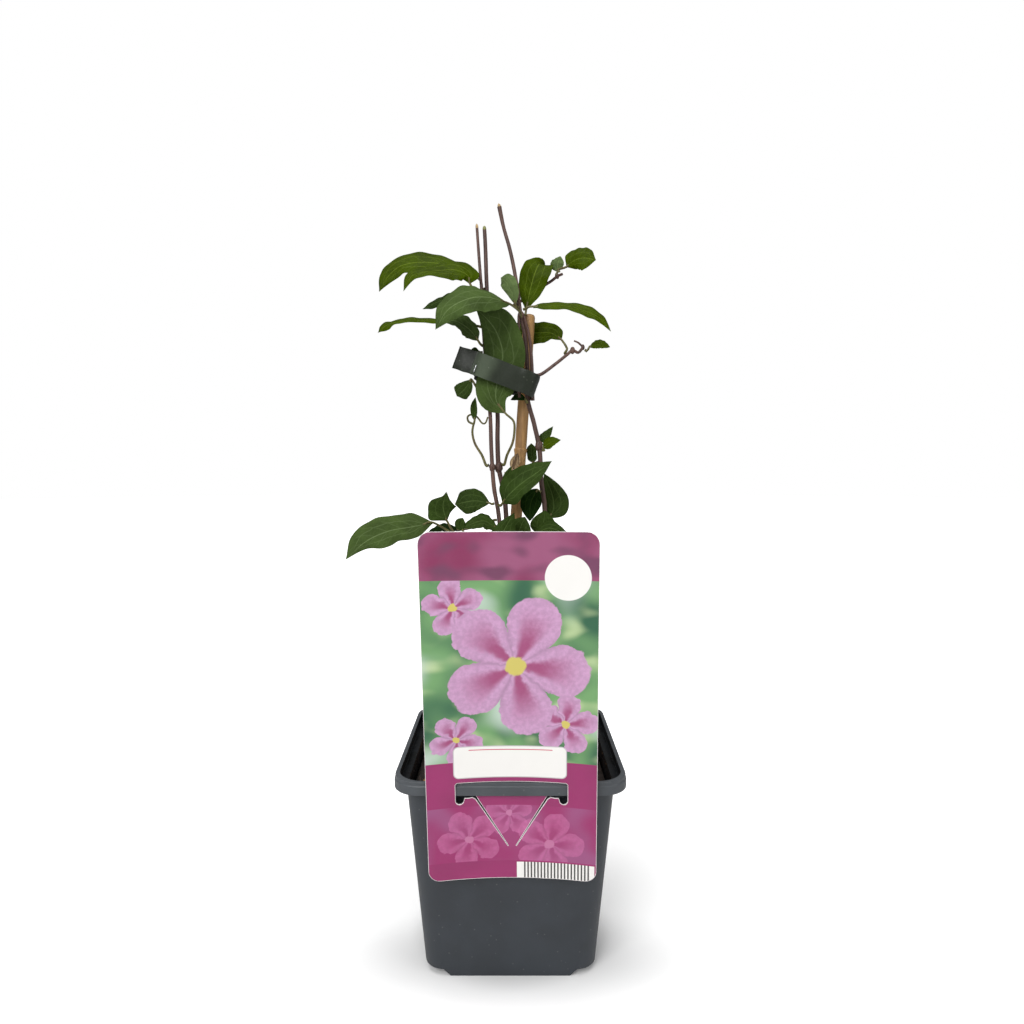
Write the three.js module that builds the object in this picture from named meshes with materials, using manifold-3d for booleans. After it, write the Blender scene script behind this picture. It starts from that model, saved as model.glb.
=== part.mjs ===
// A young clematis plant in a square nursery pot, tied to a bamboo cane, with a label card on the pot's rim.
// Millimetres, +Z up, +Y away from the viewer. The origin is the middle of the pot's flat foot.
import * as THREE from 'three';
import { mergeVertices } from 'three/addons/utils/BufferGeometryUtils.js';
import Module from 'manifold-3d';

const wasm = await Module();
wasm.setup();

// ---- driving dimensions ----------------------------------------------------------------------------------

const GAP = 0.3; // what neighbouring pieces leave between them

// Pot: "half" is half the width across the flats.
const RIM_HALF = 44.7;
const RIM_TOP = 82.4;
const LIP_BOTTOM = 77.4;
const LIP_THICK = 2;
const WALL_TOP_HALF = 40.6;
const BASE_HALF = 33.8;
const WALL_THICK = 1.1;
const LEDGE_THICK = 1.2;
const FLOOR_TOP = 4.4;
const CORNER_SHARE = 0.235; // corner radius as a share of the half width
const FOOT_HALF = 23.5; // the foot stands on the middle of each side
const CORNER_RAISE = 2.8; // the corners are moulded this much higher
const DRAIN_PLACE = 23;
const DRAIN_RADIUS = 3;
const NOTCH_PLACE = 40; // middle of the block that the raised corner leaves free
const NOTCH_DEPTH = 1; // how far that block reaches below the foot

const SOIL_TOP = 73;
const SOIL_RELIEF = 1.3;

// Cane: from its buried end to its rounded top.
const CANE_BOTTOM = [-7.2, 4, 30];
const CANE_TOP = [8, 4, 265];
const CANE_RADIUS = 2.5;
const CANE_NODES = [60, 178];
const CANE_NODE_HEIGHT = 0.35;

// Label card: half width, heights, how it leans and how it is cupped towards the viewer.
const CARD_X = 0.8;
const CARD_HALF = 31.4;
const CARD_BOTTOM = 44;
const CARD_TOP = 177.3;
const CARD_THICK = 0.6;
const CARD_CORNER = 4.5;
const CARD_FRONT_AT_RIM = -48.2;
const CARD_LEAN = 0.1054;
const CARD_CUP = 4.6;
const CARD_CUP_LOSS = 0.006; // share of the cup lost for each mm above or below the rim
const SLOT_HALF = 20.8;
const SLOT_TOP = RIM_TOP + GAP;
const SLOT_FOOT = 74.2;
const SLOT_LOBE = 3;
const SLOT_SHOULDER = LIP_BOTTOM - 0.6;
const TONGUE_HALF = 13.4;
const TONGUE_NECK_HALF = 1.6;
const TONGUE_NECK = 57;
const TONGUE_SLIT = 0.5;
const TONGUE_TOP_Y = -42.6;
const CUTTER_DEPTH = 40;
const CUTTER_BACK = -28;

// Tape tie: a loop round the stems, the cane and one leaf, lower on the right.
const TIE_CENTRE = [-1.6, -1.2, 237.5];
const TIE_SLOPE = 20; // degrees
const TIE_HALF_LENGTH = 12.6;
const TIE_HALF_DEPTH = 9.6;
const TIE_HEIGHT = 9.5;
const TIE_THICK = 0.7;
const TIE_ROUND = 5; // radius of the loop's turns
const TAB_LENGTH = 16;
const TAB_LAP = 6.4; // how much of the tab lies along the front of the loop
const TAB_TURN = -14; // degrees
const TAB_BACK = 0.9; // how far behind the loop's front face
const STAPLE_X = -TIE_HALF_LENGTH - 0.2;
const STAPLE_HEIGHT = TIE_HEIGHT / 2 - 2.2; // its middle, from the tape's lower edge
const STAPLE_WIRE = 0.5;
const STAPLE_HALF = 1.5;
const STAPLE_LEG = 3.4;
const STAPLE_FRONT = 1.4; // how far the crown stands in front of the loop

const JOINT_STRETCH = 1.5; // a swollen joint is this much longer than wide
const ROOT_LENGTH = 1.2; // how far what grows from a stem runs straight out of it
const STALK_SIDES = 5;
const STALK_STEP = 5;
const BLADE_THICK = 0.7;
const BLADE_LEAST = 0.35; // the least that a blade reaches out, at its base and its tip
const WAVE_TURN = 15; // radians of ruffle from base to tip
const TWIG_RADIUS = 0.7;
const STALK_RADIUS = 0.55;
const TENDRIL_RADII = [0.45, 0.35]; // at its root and at its tip
const TENDRIL_STEP = 2;
const STEM_SIDES = 7;
const STEM_STEP = 10;

// Main stems, from the soil up: the points that each passes, its radius at the foot and at the tip.
const STEMS = {
  left: {
    radius: [1.1, 0.6],
    points: [[-2, -7, 45], [-2.5, -6.5, 80], [-3, -6, 120], [-3.5, -5, 161], [-5, -5, 180], [-7, -5, 192],
      [-8, -5, 207], [-8.5, -5, 222], [-10, -5, 240], [-11.5, -4, 260], [-12, -4, 273], [-13, -3, 286],
      [-14, -3, 300.5]],
  },
  middle: {
    radius: [1.2, 0.8],
    points: [[3, -3, 45], [2, -3, 80], [0, -2.5, 120], [-1, -2, 160], [-2, -2, 181], [-3, -2, 190],
      [-5, -2, 200], [-5.5, -2, 211], [-5.5, -2, 223], [-7, -1.5, 240], [-9, -1, 260], [-10, 0, 276],
      [-10.5, 1, 291], [-11, 1, 301]],
  },
  right: {
    radius: [1.2, 0.5],
    points: [[10, -3, 45], [11, -2.5, 80], [13.5, -1.5, 120], [15, -1, 160], [14.5, -1, 182], [13, -1, 194],
      [12.3, -1, 207], [10, -1, 218], [7.1, -1, 229.5], [7, -1, 243], [6, -1, 255], [4.2, -1, 264],
      [2.5, 0, 277], [0, 1, 290], [-3, 2, 301], [-5, 2, 310.5]],
  },
};
// Swollen joints of the stems: [stem, height, radius].
const STEM_JOINTS = [['left', 200, 1.3], ['middle', 200, 1.7], ['right', 209, 1.6], ['right', 263, 1.5],
  ['middle', 160, 1.7], ['left', 168, 1.4], ['right', 176, 1.6]];

// Side stems grow from the right stem: their height on it, their points, their buds as a place and a radius,
// and a tendril.
const SIDE_STEMS = {
  side_stem_right: {
    from: 238.6,
    points: [[12.9, -2, 239], [18.5, -2, 243], [23.5, -1.5, 247], [26, -1, 249], [28.5, -0.5, 248.2],
      [30.5, 0, 250.5]],
    buds: [[26, -1, 249, 1.2], [30.5, 0, 250.5, 0.9]],
    tendril: [[30.5, 0, 250.5], [28.6, 0.4, 252.4], [26.8, 0.8, 253.3]],
  },
  side_stem_top: {
    from: 268,
    points: [[1.5, 2.5, 268.5], [3, 6.5, 270.5], [8, 9, 273.5], [14, 9, 278], [17.5, 8, 280], [20, 6, 281.5],
      [22, 4.5, 282]],
    buds: [[20, 6, 281.5, 0.9]],
  },
};

// Leaves. stem and at: what the stalk grows from, and its height there. stalk: the points that it passes on
// its way to the blade. rib: the blade's middle line from base to tip. face: the way its upper side looks.
// A plain blade has its width and, along the rib, where it is widest. Any other has edges: how far it reaches
// to the left and to the right of the rib at even steps from base to tip, seen from above with the tip ahead.
// cup lifts both edges, wave ruffles them. tendril: the points of a curl that winds round the stalk.
const LEAVES = {
  crown_leaf_1: {
    stem: 'middle', at: 275, stalk: [[-13, 2, 279]],
    rib: [[-20, 3, 283.5], [-28.5, 3.5, 286], [-38, 4, 287], [-46.5, 4, 285.5], [-52, 3, 280.5],
      [-55.5, 2, 274]],
    edges: [[5.5, 6, 4.6, 3], [6.6, 7.6, 6.8, 4.2]], face: [0.1, -0.8, 0.6], cup: -1.2, wave: 0.5,
  },
  crown_leaf_2: {
    stem: 'left', at: 270, stalk: [[-14, -7.4, 271.5]],
    rib: [[-16.5, -8.4, 274.5], [-17.5, -9, 278], [-22.5, -10, 280], [-28.5, -11, 279.5], [-35, -12, 278.5],
      [-40, -12.5, 276.5], [-43, -13, 270.5]],
    edges: [[5, 6, 3.2, 2.4], [7.8, 6.6, 3.9, 3.2]], face: [0.1, -0.75, 0.66], cup: -0.8, wave: 0.4,
  },
  crown_leaf_3: {
    stem: 'middle', at: 266, stalk: [[-12, 3, 268]],
    rib: [[-16, 6, 270.5], [-27, 9, 273], [-38.5, 12, 269]],
    width: 9, face: [0, -0.7, 0.7], widest: 0.5, cup: -0.5, wave: 0.4,
  },
  crown_leaf_4: {
    stem: 'right', at: 262.5, stalk: [[4, -5, 264]],
    rib: [[0, -10, 266], [-8, -18, 267], [-16, -23, 265.5], [-24, -26, 260.5], [-29, -25, 253]],
    edges: [[6.8, 8.5, 7.5, 4.6], [8.6, 9.4, 7.8, 4.8]], face: [0.15, -0.7, 0.7], cup: -1, wave: 0.5,
  },
  crown_leaf_5: {
    stem: 'left', at: 258, stalk: [[-14, -7, 258]],
    rib: [[-19.5, -10, 258.5], [-32.5, -12, 259.5], [-42.5, -13, 259], [-49.5, -13, 257.5],
      [-53.5, -13, 254]],
    edges: [[3.2, 1.7, 2.6, 3.4], [3.5, 2.9, 3.4, 3.6]], face: [0, -0.55, 0.83], cup: -0.5, wave: 0.4,
  },
  crown_leaf_6: {
    stem: 'left', at: 250, stalk: [[-12.5, -8.5, 250.5]],
    rib: [[-13, -11.5, 251], [-16.5, -13, 255.5], [-22, -15, 258.5], [-28, -16, 258]],
    edges: [[4.4, 5.4, 4.2, 2.6], [5, 6.6, 6.2, 4]], face: [0.2, -0.7, 0.7], cup: -0.4, wave: 0.3,
  },
  crown_leaf_7: {
    stem: 'left', at: 247.6, stalk: [],
    rib: [[-13, -5.3, 247.9], [-16.5, -5.8, 248.2]],
    width: 3.6, widest: 0.5, face: [0, -0.9, 0.4], cup: 0, wave: 0,
  },
  crown_leaf_8: {
    stem: 'right', at: 266.5, stalk: [],
    rib: [[2, -4, 267], [0.5, -5.5, 272], [-2, -6.5, 276], [-4, -7, 277.5]],
    edges: [[1.6, 2.4, 2.8, 2], [2.2, 3.4, 4.2, 3.4]], face: [-0.3, -0.8, 0.5], cup: -0.3, wave: 0.3,
  },
  crown_leaf_9: {
    stem: 'right', at: 264, stalk: [],
    rib: [[6.5, 2, 266], [8, 3.5, 274], [10, 6, 282], [12.5, 10, 288], [15, 16, 286.5]],
    edges: [[3.8, 5.6, 5.6, 3.8], [4.8, 7, 7.2, 5.2]], face: [-0.15, -0.9, 0.3], cup: 1.5, wave: 0.4,
  },
  crown_leaf_10: {
    stem: 'right', at: 265.5, stalk: [],
    rib: [[7.5, -3.5, 266.5], [14, -5, 266.5], [22.5, -8, 266], [30, -10.5, 263.5], [36, -12.5, 260],
      [40.5, -13, 254.5]],
    edges: [[2.6, 3.4, 4, 3.1], [2, 2.7, 2.9, 2.4]], face: [0.15, -0.75, 0.65], cup: -0.4, wave: 0.3,
  },
  crown_leaf_11: {
    stem: 'side_stem_top', at: 281.2, stalk: [],
    rib: [[20.2, 8.2, 284], [20.2, 8.4, 287.5], [21.4, 9, 290.8]],
    width: 6.4, widest: 0.45, face: [-0.4, -0.85, 0.2], cup: 0.4, wave: 0.2,
  },
  crown_leaf_12: {
    stem: 'side_stem_top', at: 281.8, stalk: [],
    rib: [[23.5, 3, 284.5], [26.2, 1.3, 286.6], [30.2, -0.8, 287.4], [35.5, -2, 286]],
    edges: [[4.6, 5.8, 6, 5.2], [3.2, 4.4, 5.6, 5.6]], face: [0, -0.9, 0.4], cup: -0.8, wave: 0,
  },
  side_leaf_1: {
    stem: 'side_stem_right', at: 247.4, stalk: [[24, 3, 250.5]],
    rib: [[22, 6, 254.5], [17.5, 8, 258], [11.5, 9.8, 258.5], [3, 10.8, 259]],
    edges: [[2.8, 4.2, 4.8, 4.2], [4, 4.9, 5, 4.4]], face: [0.1, -0.95, 0.3], cup: -0.4, wave: 0.3,
  },
  side_leaf_2: {
    stem: 'side_stem_right', at: 250, stalk: [],
    rib: [[33, -0.6, 250.5], [37, -2, 251.5], [41.5, -3, 250]],
    width: 3.6, widest: 0.5, face: [0, -0.8, 0.6], cup: 0, wave: 0,
  },
  bound_leaf: {
    stem: 'middle', at: 201, stalk: [[-1.5, -5, 205], [0.8, -7, 210], [1.6, -8, 215], [1.2, -8.4, 219]],
    rib: [[-2, -8.6, 222], [-6, -9, 228], [-5, -9, 237.5], [-3.2, -9, 246], [-5.5, -9.4, 254.5],
      [-9.5, -10, 260], [-14, -10.5, 264]],
    edges: [[8, 8, 6.9, 4.2], [6.6, 9, 7.8, 4.4]], face: [0, -1, 0], cup: -1, wave: 0.2,
  },
  tie_leaf_1: {
    stem: 'left', at: 226.5, stalk: [[-13, -5.5, 231]],
    rib: [[-16, -8, 236], [-19, -8.6, 232], [-22, -9.4, 229]],
    edges: [[2, 3, 3.4, 3.2], [2, 3.2, 3.8, 3.4]], face: [0, -1, 0.15], cup: -0.4, wave: 0.2,
  },
  tie_leaf_2: {
    stem: 'right', at: 227.3, stalk: [],
    rib: [[6.5, -3.2, 228.2], [3.5, -4, 229.3], [0, -4.6, 228]],
    width: 3.2, widest: 0.5, face: [0, -0.9, 0.4], cup: 0, wave: 0,
  },
  loop_leaf: {
    stem: 'left', at: 201, stalk: [[-12, -3.5, 205], [-15, -3.5, 210], [-16, -4, 215]],
    rib: [[-15, -4.6, 219.5], [-15.3, -5, 225], [-14.6, -5.2, 229]],
    width: 3, widest: 0.4, face: [-0.2, -1, 0], cup: 0, wave: 0,
    tendril: [[-15.5, -4.6, 218], [-17.5, -4.2, 219], [-18, -3.6, 221], [-16.5, -3.4, 222], [-14, -3.4, 221],
      [-12, -3.6, 218.5], [-10.5, -3.8, 218.5], [-9.5, -3.6, 221]],
  },
  middle_leaf_1: {
    stem: 'right', at: 210.5, stalk: [],
    rib: [[13, 1.2, 214], [16, 2, 215.5], [20, 3.2, 218]],
    edges: [[1.5, 1.6, 1.2, 0.7], [1.5, 1.6, 1.2, 0.7]], face: [-0.4, -0.8, 0.5], cup: 0, wave: 0,
  },
  middle_leaf_2: {
    stem: 'right', at: 207, stalk: [],
    rib: [[14, -2.5, 210.5], [18, -3.6, 212], [21.5, -4.8, 212]],
    edges: [[1.7, 1.9, 1.6, 0.9], [1.7, 1.9, 1.5, 0.8]], face: [-0.2, -0.8, 0.6], cup: 0, wave: 0,
  },
  middle_leaf_3: {
    stem: 'right', at: 203, stalk: [[12.2, 3.5, 202.5]],
    rib: [[9.8, 7.6, 201.8], [9.2, 8.4, 206], [9, 8.8, 210.6]],
    edges: [[1.9, 2.1, 2.1, 1.9], [1.9, 2.1, 2.1, 1.9]], face: [0.1, -1, 0.2], cup: 0, wave: 0,
  },
  low_leaf_1: {
    stem: 'left', at: 184, stalk: [[-4, -8, 184]],
    rib: [[-3.5, -9.5, 185], [-0.5, -11, 189], [4.5, -12, 193.5], [11, -11, 198], [17, -9, 202.5]],
    edges: [[6.4, 8.2, 7.3, 5.4], [5.2, 5, 4.6, 2.6]], face: [-0.35, -0.85, 0.4], cup: -0.6, wave: 0.3,
  },
  low_leaf_2: {
    stem: 'middle', at: 187.5, stalk: [],
    rib: [[-1.8, -5, 190.5], [-1.6, -5.4, 195.5], [0.4, -6, 200.5]],
    width: 3.6, widest: 0.45, face: [-0.3, -0.95, 0.1], cup: 0, wave: 0,
  },
  dry_leaf: {
    stem: 'middle', at: 197, stalk: [[-1.5, -2.2, 198]],
    rib: [[0.5, -2.4, 199], [2, -2.6, 202.5], [3, -2.6, 206]],
    width: 4.2, widest: 0.45, face: [0, -1, 0.1], cup: 0.3, wave: 0,
  },
  low_leaf_3: {
    stem: 'right', at: 190, stalk: [],
    rib: [[11.5, -3, 191], [8.5, -4.5, 185], [8, -6, 177.5]],
    width: 9, face: [0.1, -0.95, 0.25], widest: 0.45, cup: -0.4, wave: 0.3,
  },
  low_leaf_4: {
    stem: 'right', at: 173.5, stalk: [[16.5, 1, 175]],
    rib: [[16.5, 2.4, 178], [18.5, 3.4, 182.5], [18, 4.6, 188], [16, 5.8, 193.5], [14.5, 7, 197.5]],
    edges: [[3.2, 4.4, 3.6, 1.8], [5.6, 6.6, 4.6, 2.3]], face: [-0.2, -0.95, 0.2], cup: -0.5, wave: 0.3,
  },
  low_leaf_5: {
    stem: 'left', at: 158, stalk: [[-4, -10, 160]],
    rib: [[-4, -13, 165], [-3, -15, 173.5], [1.5, -15.5, 181.5]],
    edges: [[4, 3.4, 2.3, 1.4], [5, 5, 4, 2.2]], face: [0, -0.95, 0.3], cup: -0.5, wave: 0.3,
  },
  low_leaf_6: {
    stem: 'middle', at: 165, stalk: [[1.5, -5, 167]],
    rib: [[2.5, -8, 170], [4, -9.5, 175], [6, -9.5, 179.5]],
    width: 4, face: [-0.2, -0.95, 0.3], widest: 0.45, cup: 0, wave: 0,
  },
  low_leaf_7: {
    stem: 'right', at: 166, stalk: [[12.5, -4.5, 167.5]],
    rib: [[10, -7, 171.5], [16, -9, 175], [24.5, -10, 171.8]],
    width: 5.5, widest: 0.45, face: [0, -0.5, 0.86], cup: -0.3, wave: 0.2,
  },
  low_leaf_8: {
    stem: 'right', at: 170, stalk: [],
    rib: [[13.5, -4, 171.5], [13.8, -5, 176.5], [14.5, -5.6, 182]],
    width: 5.5, face: [0, -1, 0.1], widest: 0.42, cup: 0, wave: 0,
  },
  low_leaf_9: {
    stem: 'left', at: 172, stalk: [],
    rib: [[-5.5, -7, 174.5], [-11.5, -8.5, 178], [-20, -10, 175]],
    width: 8, face: [0.1, -0.55, 0.83], widest: 0.45, cup: -0.4, wave: 0.3,
  },
  low_leaf_10: {
    stem: 'left', at: 164, stalk: [[-12, -5, 166], [-22, -6.5, 171]],
    rib: [[-32, -8.5, 177], [-41, -11, 175.5], [-50, -14, 174], [-58.5, -17, 170], [-66, -20, 163]],
    edges: [[5.2, 5.4, 6.8, 2.6], [7.6, 7.4, 8.6, 6.6]], face: [0.1, -0.78, 0.62], cup: -1, wave: 0.4,
  },
  low_leaf_11: {
    stem: 'left', at: 167.5, stalk: [[-14, -8, 169.5], [-22, -11.5, 172]],
    rib: [[-26, -12.5, 178], [-27.5, -13.5, 184], [-26, -15, 190]],
    edges: [[6.4, 6.4, 5.4, 1.4], [2.2, 5.2, 4.8, 2.3]], face: [0, -1, 0.2], cup: -0.3, wave: 0.2,
  },
  low_leaf_12: {
    stem: 'left', at: 161.3, stalk: [[-10, -8.5, 162], [-16, -14, 167], [-18.6, -18.5, 172]],
    rib: [[-19, -19.5, 174.5], [-19.9, -20, 177.3], [-19, -20.5, 179.8]],
    width: 4.8, widest: 0.5, face: [0, -1, 0.2], cup: 0, wave: 0,
  },
  low_leaf_13: {
    stem: 'left', at: 185, stalk: [],
    rib: [[-8.6, -4.2, 185], [-15.5, -3.6, 186], [-23.5, -4, 184.5]],
    edges: [[2.8, 4.6, 5.5, 4.8], [3, 5, 5.7, 4.8]], face: [0, -0.92, 0.38], cup: -0.5, wave: 0.3,
  },
  low_leaf_14: {
    stem: 'left', at: 178, stalk: [[-10, -3, 176]],
    rib: [[-21, -2.5, 173.5], [-29, -2.5, 174.5], [-36, -3, 171.5]],
    width: 6, face: [0, -0.5, 0.86], widest: 0.45, cup: 0, wave: 0.2,
  },
};

const COLOURS = {
  pot: ['#43474c', 0.55], soil: ['#2b1d14', 0.95], cane: ['#a9834f', 0.6], stem: ['#5a3a30', 0.7],
  leaf: ['#4c6a26', 0.55], dry: ['#8a7450', 0.8], tie: ['#3c4438', 0.4], card: ['#a53c73', 0.4],
  staple: ['#b8b8b4', 0.35],
};

// ---- helpers ---------------------------------------------------------------------------------------------

const vector = (point) => new THREE.Vector3(...point);

const curveThrough = (points) => new THREE.CatmullRomCurve3(points.map(vector), false, 'catmullrom', 0.5);

// A closed mesh with shared vertices, as a solid for joining and cutting.
function solid(geometry) {
  const bare = geometry.clone();
  bare.deleteAttribute('normal');
  bare.deleteAttribute('uv');
  const merged = mergeVertices(bare, 1e-4);
  const index = merged.index.array;
  const triangles = [];
  for (let i = 0; i < index.length; i += 3) {
    const [a, b, c] = index.slice(i, i + 3);
    if (a !== b && b !== c && c !== a) triangles.push(a, b, c);
  }
  return new wasm.Manifold(new wasm.Mesh({
    numProp: 3,
    vertProperties: new Float32Array(merged.attributes.position.array),
    triVerts: new Uint32Array(triangles),
  }));
}

function geometryOf(body) {
  const mesh = body.getMesh();
  const geometry = new THREE.BufferGeometry();
  geometry.setAttribute('position', new THREE.BufferAttribute(new Float32Array(mesh.vertProperties), 3));
  geometry.setIndex(new THREE.BufferAttribute(new Uint32Array(mesh.triVerts), 1));
  geometry.computeVertexNormals();
  return geometry;
}

function material(name) {
  const [color, roughness] = COLOURS[name];
  return new THREE.MeshStandardMaterial({ color, roughness, metalness: name === 'staple' ? 1 : 0 });
}

function part(name, body, colour) {
  const mesh = new THREE.Mesh(body.isBufferGeometry ? body : geometryOf(body), material(colour));
  mesh.name = name;
  return mesh;
}

// Moves every vertex of a geometry by a function of its place.
function reshape(geometry, move) {
  const place = geometry.attributes.position;
  const point = new THREE.Vector3();
  for (let i = 0; i < place.count; i += 1) {
    move(point.fromBufferAttribute(place, i));
    place.setXYZ(i, point.x, point.y, point.z);
  }
  return geometry;
}

function disc(radius, sides) {
  const shape = new THREE.Shape();
  for (let i = 0; i < sides; i += 1) {
    const angle = (i / sides) * Math.PI * 2;
    if (i === 0) shape.moveTo(radius, 0);
    else shape.lineTo(radius * Math.cos(angle), radius * Math.sin(angle));
  }
  return shape;
}

// A round tube along a curve, its radius running from one end's to the other's.
function tube(curve, [first, last], sides, step) {
  const steps = Math.max(2, Math.round(curve.getLength() / step));
  const settings = { steps, extrudePath: curve, bevelEnabled: false };
  const geometry = new THREE.ExtrudeGeometry(disc(1, sides), settings);
  const middles = curve.getSpacedPoints(steps);
  return reshape(geometry, (point) => {
    let nearest = 0;
    middles.forEach((middle, i) => {
      if (middle.distanceToSquared(point) < middles[nearest].distanceToSquared(point)) nearest = i;
    });
    const radius = first + (last - first) * (nearest / steps);
    point.sub(middles[nearest]).multiplyScalar(radius).add(middles[nearest]);
  });
}

// ---- pot and soil ----------------------------------------------------------------------------------------

const RING_POINTS = 40;
const QUARTER = RING_POINTS / 4;
const ARC_FIRST = 2;
const ARC_STEPS = QUARTER - 2 * ARC_FIRST;

// The i-th point of a square with round corners, counted from the middle of its right side.
function squarePoint(i, half) {
  const radius = half * CORNER_SHARE;
  const flat = half - radius;
  const place = i % QUARTER;
  let x = half;
  let y = (flat * place) / ARC_FIRST;
  if (place > ARC_FIRST) {
    const angle = (Math.min(place - ARC_FIRST, ARC_STEPS) / ARC_STEPS) * (Math.PI / 2);
    x = flat + radius * Math.cos(angle);
    y = flat + radius * Math.sin(angle);
  }
  if (place > ARC_FIRST + ARC_STEPS) x = (flat * (QUARTER - place)) / ARC_FIRST;
  return new THREE.Vector2(x, y).rotateAround(new THREE.Vector2(), Math.floor(i / QUARTER) * (Math.PI / 2));
}

// A turned form whose rounds are made squares: profile lists [half width, height] from the axis to the axis.
function squareForm(profile) {
  const points = profile.map(([half, height]) => new THREE.Vector2(half, height));
  const geometry = new THREE.LatheGeometry(points, RING_POINTS);
  return reshape(geometry, (point) => {
    const half = Math.hypot(point.x, point.z);
    const turn = Math.atan2(point.z, point.x) / (Math.PI * 2);
    const i = Math.round((1 - turn) * RING_POINTS) % RING_POINTS;
    const place = half < 1e-6 ? new THREE.Vector2() : squarePoint(i, half);
    point.set(place.x, place.y, point.y);
  });
}

const wallHalf = (height) => BASE_HALF + (WALL_TOP_HALF - BASE_HALF) * (height / LIP_BOTTOM);

function makePot() {
  const ledgeTop = LIP_BOTTOM + LEDGE_THICK;
  const lipInside = RIM_HALF - LIP_THICK;
  const shell = solid(squareForm([
    [0, 0], [BASE_HALF - 0.8, 0], [BASE_HALF, 0.8],
    [wallHalf(LIP_BOTTOM / 2), LIP_BOTTOM / 2], [WALL_TOP_HALF, LIP_BOTTOM],
    [RIM_HALF - 0.7, LIP_BOTTOM], [RIM_HALF, LIP_BOTTOM + 0.7], [RIM_HALF, RIM_TOP - 0.8],
    [RIM_HALF - 0.6, RIM_TOP], [lipInside + 0.5, RIM_TOP], [lipInside, RIM_TOP - 0.6],
    [lipInside, ledgeTop + 0.4], [lipInside - 0.4, ledgeTop],
    [WALL_TOP_HALF - WALL_THICK + 0.3, ledgeTop], [WALL_TOP_HALF - WALL_THICK, ledgeTop - 0.4],
    [wallHalf(FLOOR_TOP) - WALL_THICK, FLOOR_TOP], [0, FLOOR_TOP],
  ]));
  // The corners of the foot are lifted, with a sloping step up from the part that stands.
  let pot = shell;
  for (const sx of [-1, 1]) {
    for (const sy of [-1, 1]) {
      const below = NOTCH_PLACE - FOOT_HALF + NOTCH_DEPTH;
      const above = NOTCH_PLACE - FOOT_HALF - CORNER_RAISE;
      const deep = CORNER_RAISE + NOTCH_DEPTH;
      const notch = new THREE.CylinderGeometry(above * Math.SQRT2, below * Math.SQRT2, deep, 4);
      notch.rotateY(Math.PI / 4).rotateX(Math.PI / 2);
      notch.translate(sx * NOTCH_PLACE, sy * NOTCH_PLACE, (CORNER_RAISE - NOTCH_DEPTH) / 2);
      const drain = new THREE.CylinderGeometry(DRAIN_RADIUS, DRAIN_RADIUS, FLOOR_TOP * 3, 12);
      drain.rotateX(Math.PI / 2).translate(sx * DRAIN_PLACE, sy * DRAIN_PLACE, 0);
      pot = pot.subtract(solid(notch)).subtract(solid(drain));
    }
  }
  return pot;
}

// Bark and fibre as a rough top, highest round the stems.
function soilHeight(x, y) {
  const coarse = Math.sin(x * 0.83 + y * 0.31) * Math.cos(y * 0.71 - x * 0.19);
  const fine = 0.6 * Math.sin(x * 1.7 + y * 1.3);
  const mound = 1.5 * Math.exp(-(x * x + y * y) / 300);
  return SOIL_TOP + mound + SOIL_RELIEF * (coarse + fine);
}

function makeSoil(buried) {
  const floor = FLOOR_TOP + GAP;
  const edge = wallHalf(SOIL_TOP) - WALL_THICK - GAP;
  const rings = [0.96, 0.84, 0.7, 0.56, 0.42, 0.28, 0.14, 0];
  const block = squareForm([
    [0, floor], [wallHalf(floor) - WALL_THICK - GAP, floor], [edge, SOIL_TOP - 1.5],
    ...rings.map((share) => [edge * share, SOIL_TOP]),
  ]);
  reshape(block, (point) => {
    if (point.z > SOIL_TOP - 0.5) point.z = soilHeight(point.x, point.y);
  });
  return buried.reduce((soil, hole) => soil.subtract(hole), solid(block));
}

// ---- cane and stems --------------------------------------------------------------------------------------

function caneForm(extra) {
  const length = vector(CANE_TOP).distanceTo(vector(CANE_BOTTOM));
  const radius = CANE_RADIUS + extra;
  const profile = [[0, -extra], [radius, -extra]];
  for (const node of CANE_NODES) {
    profile.push([radius, node - 2], [radius + CANE_NODE_HEIGHT, node], [radius, node + 1.2]);
  }
  profile.push([radius, length - 1.6], [radius * 0.8, length - 0.4], [radius * 0.4, length], [0, length]);
  return new THREE.LatheGeometry(profile.map(([r, h]) => new THREE.Vector2(r, h)), 12);
}

// Sets a form that was turned about +Y on the cane's slanting line.
function placeOnCane(object) {
  const along = vector(CANE_TOP).sub(vector(CANE_BOTTOM)).normalize();
  object.quaternion.setFromUnitVectors(new THREE.Vector3(0, 1, 0), along);
  object.position.copy(vector(CANE_BOTTOM));
  object.updateMatrix();
}

function makeCaneHole() {
  const mould = new THREE.Object3D();
  placeOnCane(mould);
  return solid(caneForm(GAP).applyMatrix4(mould.matrix));
}

function stemSolid({ points, radius }, extra) {
  const [first, ...rest] = points;
  const curve = curveThrough([[first[0], first[1], first[2] - extra], ...rest]);
  return solid(tube(curve, radius.map((r) => r + extra), STEM_SIDES, STEM_STEP));
}

// The point of a curve at a height, for one that climbs all the way.
function atHeight(curve, height) {
  let low = 0;
  let high = 1;
  while (high - low > 1e-5) {
    const middle = (low + high) / 2;
    if (curve.getPoint(middle).z < height) low = middle;
    else high = middle;
  }
  return { point: curve.getPoint(low), share: low };
}

function knob([x, y, z], radius) {
  return solid(new THREE.IcosahedronGeometry(radius, 1).scale(1, 1, JOINT_STRETCH).translate(x, y, z));
}

// What leaves and side stems grow from, by name: the curve, its radii and the height where it is highest.
const carriers = {};
for (const [name, { points, radius }] of Object.entries(STEMS)) {
  carriers[name] = { curve: curveThrough(points), radius };
}

function makeStem(name) {
  let stem = stemSolid(STEMS[name], 0);
  for (const [where, height, radius] of STEM_JOINTS) {
    if (where === name) stem = stem.add(knob(atHeight(carriers[name].curve, height).point.toArray(), radius));
  }
  return stem;
}

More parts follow.
